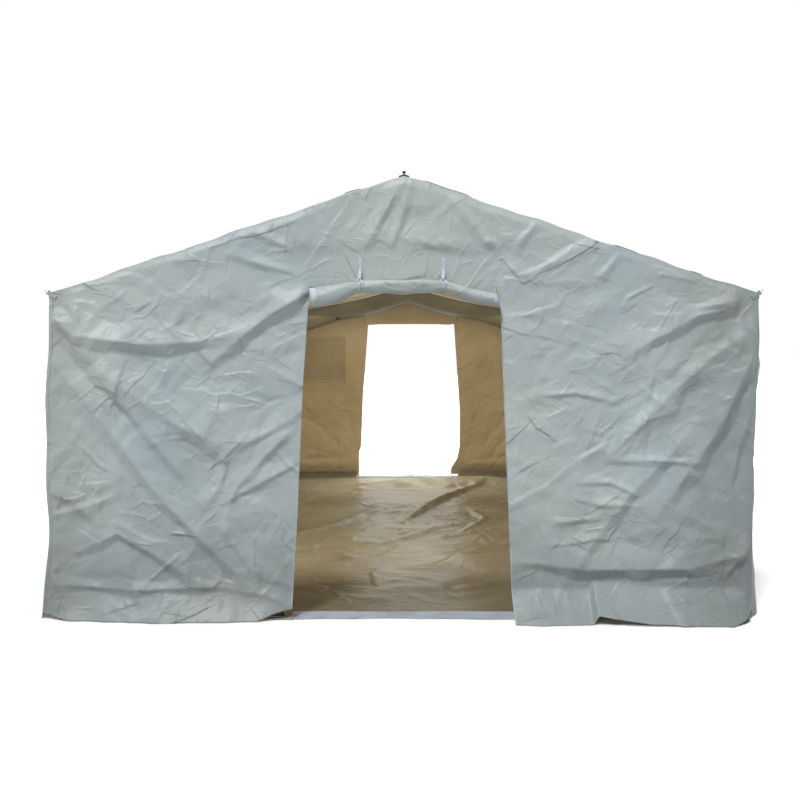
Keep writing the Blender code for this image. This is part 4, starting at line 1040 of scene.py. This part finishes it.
# Doors: each is one sheet of cover cloth that is sewn above the doorway, rolled up outside it and
# held by two tied tapes. Hook tape along its sides shows as a pale band at each end of the roll.
roll_turns = 10
roll_core = 0.005
roll_wall = 0.0012
roll_back = 3.0022
band_width = 0.024
roll_x = (-0.5438, -0.46, -0.40, -0.32, -0.262, -0.234, -0.10, 0.00, 0.10, 0.215, 0.245, 0.38, 0.5438)
front_roll_z = (1.796, 1.804, 1.818, 1.840, 1.862, 1.866, 1.860, 1.858, 1.860, 1.866, 1.862, 1.815, 1.784)
front_roll_radius = (0.054, 0.055, 0.054, 0.047, 0.0335, 0.0330, 0.038, 0.039, 0.038, 0.0325, 0.0320, 0.038, 0.042)
rear_roll_z = (1.896, 1.898, 1.902, 1.912, 1.924, 1.925, 1.916, 1.914, 1.917, 1.925, 1.923, 1.904, 1.896)
rear_roll_radius = (0.050, 0.050, 0.050, 0.047, 0.0405, 0.0405, 0.049, 0.051, 0.050, 0.0405, 0.0405, 0.050, 0.050)
roll_ends = {"front": (-0.514, 0.526), "rear": (-0.524, 0.505)}
curtain_ends = {"front": (-0.545, 0.545), "rear": (-0.53, 0.60)}
stretch_foot = {"front": 1.858, "rear": 1.895}
stretch_height = 0.050
behind_roll = 0.52
tie_x = 0.23
tie_places = {"left": -0.248, "right": 0.222}
tie_gap = 0.0032
loop_width = 0.013
tape_top_rise = 0.020
tape_width = 0.022


def smooth_interp(x, places, values):
    """Smooth values between places: a running mean of the straight ones."""
    shifts = np.linspace(-0.02, 0.02, 9)
    return np.mean([np.interp(x + shift, places, values) for shift in shifts], axis=0)


for end_name, facing, heights, radii in (
    ("front", -1, front_roll_z, front_roll_radius),
    ("rear", 1, rear_roll_z, rear_roll_radius),
):
    door_body = end_name + "_door"
    roll_start, roll_end = roll_ends[end_name]
    curtain_start, curtain_end = curtain_ends[end_name]
    sewn_foot = stretch_foot[end_name]

    def roll_place(across, wound):
        x = roll_start + (roll_end - roll_start) * across
        turn = 2 * math.pi * roll_turns * wound
        outer = smooth_interp(x, roll_x, radii)
        lobes = 1 + 0.040 * np.sin(2 * turn + 3 * x + facing) + 0.026 * np.sin(3 * turn + 11 * x)
        lobes += 0.020 * np.sin(5 * turn - 23 * x)
        between = np.exp(-((x / 0.17) ** 4))
        lobes += 0.070 * between * np.sin(turn + 19 * x + 1.5 * np.sin(13 * x))
        lobes += 0.036 * between * np.sin(6 * turn + 41 * x)
        puckers = 0.0022 * np.sin(7 * turn + 2 * x) * np.exp(-(((np.abs(x) - tie_x) / 0.06) ** 2))
        radius = (roll_core + (outer - roll_core) * wound) * (1 + (lobes - 1) * wound) + puckers * wound
        radius = np.minimum(radius, outer + 0.002)
        slip = (0.004 * np.sin(1.9 * turn) + 0.015 * np.sin(turn)) * wound * ease((np.abs(x) - 0.36) / 0.16)
        droop = 0.60 * between * wound * np.maximum(-np.sin(turn), -0.1) * radius
        from_wall = roll_back + outer - radius * np.cos(turn) + droop
        return x + slip, facing * from_wall, smooth_interp(x, roll_x, heights) - radius * np.sin(turn)

    roll = laid_grid(end_name + "_door_wound_cloth", 72, 24 * roll_turns, roll_place)
    for face in roll.data.polygons:
        from_end = min(face.center.x - roll_start, roll_end - face.center.x)
        face.material_index = 2 if from_end < band_width else 0
    dress(roll, "cover_cloth", cover_cloth, lining, pale_tape, body=door_body, replaces=[end_name + "_door_roll"])
    thicken(roll, roll_wall, 1)
    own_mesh(roll)

    def curtain_place(across, up):
        x = curtain_start + (curtain_end - curtain_start) * across
        foot = smooth_interp(x, roll_x, heights) - 0.75 * smooth_interp(x, roll_x, radii)
        foot = np.where(np.abs(x) < behind_roll, np.minimum(foot, sewn_foot - 0.002), sewn_foot - 0.002)
        hidden = foot + (sewn_foot - foot) * up / 0.2
        z = np.where(up < 0.2, hidden, sewn_foot + stretch_height * (up - 0.2) / 0.8)
        return x, facing * (3.0003 + 0.0006 + 0.0004 * np.sin(40 * x)), z

    curtain = laid_grid(end_name + "_door_hanging_cloth", 90, 32, curtain_place, outward=(0, facing, 0))
    curtain.data.materials.append(cover_cloth)
    curtain.data.materials.append(lining)
    thicken(curtain, roll_wall, 1)
    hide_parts(end_name + "_door_curtain")
    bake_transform(curtain)

    for side_name, x in tie_places.items():
        tie_name = f"{end_name}_door_{side_name}"
        tie_z = float(smooth_interp(x, roll_x, heights))
        tie_radius = float(smooth_interp(x, roll_x, radii)) + tie_gap
        centre_y = roll_back + tie_radius - tie_gap
        top_z = tie_z + tie_radius

        def loop_place(across, around):
            turn = 2 * math.pi * around
            rippled = tie_radius + 0.0008 * np.sin(5 * turn + 30 * across)
            aside = x + loop_width * (across - 0.5) + 0.0015 * np.sin(2 * turn)
            return aside, facing * (centre_y - rippled * np.cos(turn)), tie_z - rippled * np.sin(turn)

        loop = laid_grid(tie_name + "_tie_loop", 6, 72, loop_place, weld=True)
        thicken(loop, seam_thickness)
        dress(loop, "pale_tape", cover_cloth, body=door_body, replaces=[tie_name + "_tie"])
        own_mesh(loop)

        tape_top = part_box(tie_name + "_tape")[1].z + tape_top_rise

        def tape_place(across, down):
            drop = tape_top - (tape_top - top_z - 0.001) * down
            out = 3.0015 + (centre_y - 3.0015) * ease((down - 0.42) / 0.58) ** 1.3
            width = tape_width * (1 - 0.35 * ease((down - 0.8) / 0.2))
            return x + width * (across - 0.5) + 0.002 * np.sin(5 * down), facing * out, drop

        tape = laid_grid(tie_name + "_hanging_tape", 6, 40, tape_place, outward=(0, facing, 0.3))
        dress(thicken(tape, seam_thickness), "pale_tape", pale_tape, replaces=[tie_name + "_tape"])

        def knot_place(across, around):
            turn = 2 * math.pi * around
            aside = x + 0.0085 * np.cos(turn) * (1 + 0.15 * np.sin(2 * turn))
            rise = 0.0065 * np.sin(turn) * (1 - 0.9 * (across - 0.5) ** 2)
            return aside, facing * (centre_y + 0.004 + 0.015 * (across - 0.5)), top_z + 0.006 + rise

        knot = laid_grid(tie_name + "_knot", 6, 24, knot_place, weld=True, caps=True)
        dress(knot, "pale_tape", pale_tape, body=door_body)
        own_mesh(knot)
        for tail_name, lean in (("short_tail", -1), ("long_tail", 1)):

            def tail_place(across, down):
                turn = math.pi / 2 - (0.75 + 0.25 * lean) * 1.25 * down
                from_middle = tie_radius + 0.002 + 0.003 * np.sin(5 * down)
                aside = x + lean * (0.004 + 0.014 * down) + 0.011 * (across - 0.5)
                return aside, facing * (centre_y + from_middle * np.cos(turn)), tie_z + from_middle * np.sin(turn)

            tail = laid_grid(f"{tie_name}_{tail_name}", 4, 24, tail_place, outward=(0, facing, 1))
            dress(thicken(tail, tape_thickness), "pale_tape", pale_tape, body=door_body)
            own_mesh(tail)

# Corner fittings: at each eave corner a tab of webbing, finished in the cover cloth, is folded round the bar of a
# steel ring and sewn to the wall, to take a guy rope.
tab_length = 0.055
tab_width = 0.024
tab_angle = math.radians(35)
tab_thickness = 0.0016
tab_y = 3.0013
eye_setback = 0.004
eye_reach = 0.0082
eye_radius = 0.0034
for end_name, facing in (("front", -1), ("rear", 1)):
    for side_name, side in (("left", -1), ("right", 1)):
        outward = Vector((side * math.cos(tab_angle), 0, math.sin(tab_angle)))
        bar = Vector((-side * math.sin(tab_angle), 0, math.cos(tab_angle)))
        eye = Vector((side * tent_half_width, facing * tab_y, eave_height)) + outward * eye_reach

        def tab_place(across, along):
            straight = tab_length - eye_setback
            run = along * (2 * straight + math.pi * eye_radius)
            bow = np.clip((run - straight) / eye_radius, 0, math.pi)
            returned = np.maximum(run - straight - math.pi * eye_radius, 0)
            back = np.where(bow < math.pi, 0, -eye_setback - returned)
            out = np.where(run < straight, run - straight - eye_setback, back)
            out = out + eye_radius * np.sin(bow)
            past_eye = np.exp(-(((out + eye_setback) / 0.006) ** 2))
            sewn = out < -eye_setback
            rise = np.where(sewn, 0.0012 + (eye_radius - 0.0012) * past_eye, eye_radius) * np.cos(bow)
            rise = np.where((bow >= math.pi) & sewn, -0.0002 - (eye_radius - 0.0006) * past_eye, rise)
            wide = tab_width * (across - 0.5) * (1 - 0.10 * np.sin(bow))
            x, z = eye.x + outward.x * out + bar.x * wide, eye.z + outward.z * out + bar.z * wide
            return x, eye.y + facing * rise, z

        tab = laid_grid(f"{end_name}_{side_name}_webbing_tab", 8, 80, tab_place, outward=(0, facing, 0))
        dress(tab, "cover_cloth", cover_cloth, replaces=[f"{end_name}_{side_name}_guy_tab"])
        thicken(tab, tab_thickness)

# Hardware: zinc-plated steel rings and springs, blackened studs on the peaks, and moulded plastic
# valves that are welded into the arches. The CAD pieces keep their shapes and get their finishes.
steel_light = (0.62, 0.62, 0.61, 1)
steel_dull = (0.42, 0.42, 0.41, 1)
stud_black = (0.020, 0.019, 0.018, 1)
stud_worn = (0.065, 0.058, 0.052, 1)
plastic_black = (0.022, 0.023, 0.024, 1)
plastic_grey = (0.048, 0.050, 0.052, 1)

steel = mottled("plated steel", 0.34, 60.0, ((0.35, steel_dull), (0.65, steel_light)), metallic=1.0)
dark_metal = mottled("blackened metal", 0.45, 120.0, ((0.45, stud_black), (0.75, stud_worn)), metallic=0.9)
valve_plastic = mottled("valve plastic", 0.40, 90.0, ((0.40, plastic_black), (0.70, plastic_grey)))
pitted = bump(valve_plastic, noise(valve_plastic, 900.0, 2.0)["Fac"], 0.0001, 0.5)
give(valve_plastic, main_shader(valve_plastic), {"Normal": pitted})
for finish, endings in (
    (steel, ("guy_ring", "valve_spring", "relief_valve_poppet")),
    (dark_metal, ("apex_stud",)),
    (valve_plastic, ("valve_base", "valve_plunger", "valve_cap", "relief_valve_body")),
):
    for name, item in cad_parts.items():
        if name.endswith(endings):
            for material_slot in item.material_slots:
                material_slot.material = finish

# Stage: a plain white floor, a soft key lamp from above the front left, a fill lamp from behind, and
# three lamps inside the tent that stand for the daylight through its roof and its two doorways.
floor_half = 60


def floor_place(across, up):
    return 2 * floor_half * (across - 0.5), 2 * floor_half * (up - 0.5), 0.0


def seen_white(owner, lit_by, seen, output):
    """Lights the scene with one shader, and shows the other to the rays that look at it."""
    rays = node(owner, "ShaderNodeLightPath", {}).outputs
    looks = number(owner, "MAXIMUM", rays["Is Camera Ray"], rays["Is Glossy Ray"])
    looks = number(owner, "MAXIMUM", looks, rays["Is Transmission Ray"])
    mixed = node(owner, "ShaderNodeMixShader", {0: looks, 1: lit_by.outputs[0], 2: seen.outputs[0]})
    give(owner, owner.node_tree.nodes[output], {"Surface": mixed.outputs[0]})


floor = laid_grid("studio_floor", 1, 1, floor_place, outward=(0, 0, 1))
floor_paint = bpy.data.materials.new("studio floor")
floor_paint.use_nodes = True
dull_grey = {"Base Color": (0.50, 0.50, 0.51, 1), "Roughness": 0.9, "Specular IOR Level": 0.0}
give(floor_paint, main_shader(floor_paint), dull_grey)
floor_y = node(floor_paint, "ShaderNodeSeparateXYZ", {"Vector": own_place(floor_paint)}).outputs["Y"]
glow = remap(floor_paint, floor_y, -2.8, 2.9, 0.15, 0.85)
white = node(floor_paint, "ShaderNodeEmission", {"Color": (1, 1, 1, 1), "Strength": glow})
pale = node(floor_paint, "ShaderNodeBsdfDiffuse", {"Color": (0.80, 0.80, 0.80, 1)})
bright = node(floor_paint, "ShaderNodeAddShader", {0: white.outputs[0], 1: pale.outputs[0]})
seen_white(floor_paint, main_shader(floor_paint), bright, "Material Output")
floor.data.materials.append(floor_paint)

world = bpy.data.worlds.new("studio")
bpy.context.scene.world = world
world.use_nodes = True
backdrop = world.node_tree.nodes["Background"]
give(world, backdrop, {"Color": (0.95, 0.98, 1.0, 1), "Strength": 0.42})
plain_white = node(world, "ShaderNodeBackground", {"Color": (1, 1, 1, 1), "Strength": 1.0})
seen_white(world, backdrop, plain_white, "World Output")


def lamp(name, kind, strength, colour, place, towards):
    light = bpy.data.lights.new(name, kind)
    light.energy = strength
    light.color = colour
    holder = bpy.data.objects.new(name, light)
    bpy.context.scene.collection.objects.link(holder)
    holder.location = place
    holder.rotation_euler = (Vector(towards) - Vector(place)).to_track_quat("-Z", "Y").to_euler()
    return light, holder


key, _ = lamp("key_lamp", "SUN", 2.6, (1.0, 0.985, 0.96), (-3.5, -7.5, 13.0), (0, 0, 0))
key.angle = math.radians(10)
fill, _ = lamp("fill_lamp", "SUN", 1.1, (1.0, 0.99, 0.98), (5.0, 8.0, 9.0), (0, 0, 0))
fill.angle = math.radians(40)
for lamp_name, power, place, towards, width, length in (
    ("daylight_through_roof", 34, (0, 0.4, 1.95), (0, 0.4, 0), 2.4, 4.6),
    ("daylight_through_front", 130, (-0.3, -2.3, 1.4), (-0.7, 3.0, 1.4), 1.9, 1.0),
    ("daylight_through_rear", 95, (0, 2.88, 1.0), (0, -3.0, 0.0), 1.1, 1.2),
):
    daylight, holder = lamp(lamp_name, "AREA", power, (1.0, 0.95, 0.84), place, towards)
    daylight.shape = "RECTANGLE"
    daylight.size = width
    daylight.size_y = length
    holder.visible_camera = False
    holder.visible_glossy = False

# Camera: level, at standing eye height, straight in front of the door and a little to its right.
camera_data = bpy.data.cameras.new("camera")
camera_data.lens = 40.86
camera_data.sensor_width = 36
camera_data.shift_x = -0.015
camera_data.shift_y = -0.056
camera = bpy.data.objects.new("camera", camera_data)
camera.location = (0.045, -8.12, 1.48)
camera.rotation_euler = (math.pi / 2, 0, 0)
bpy.context.scene.collection.objects.link(camera)
bpy.context.scene.camera = camera
bpy.context.scene.view_settings.view_transform = "Standard"
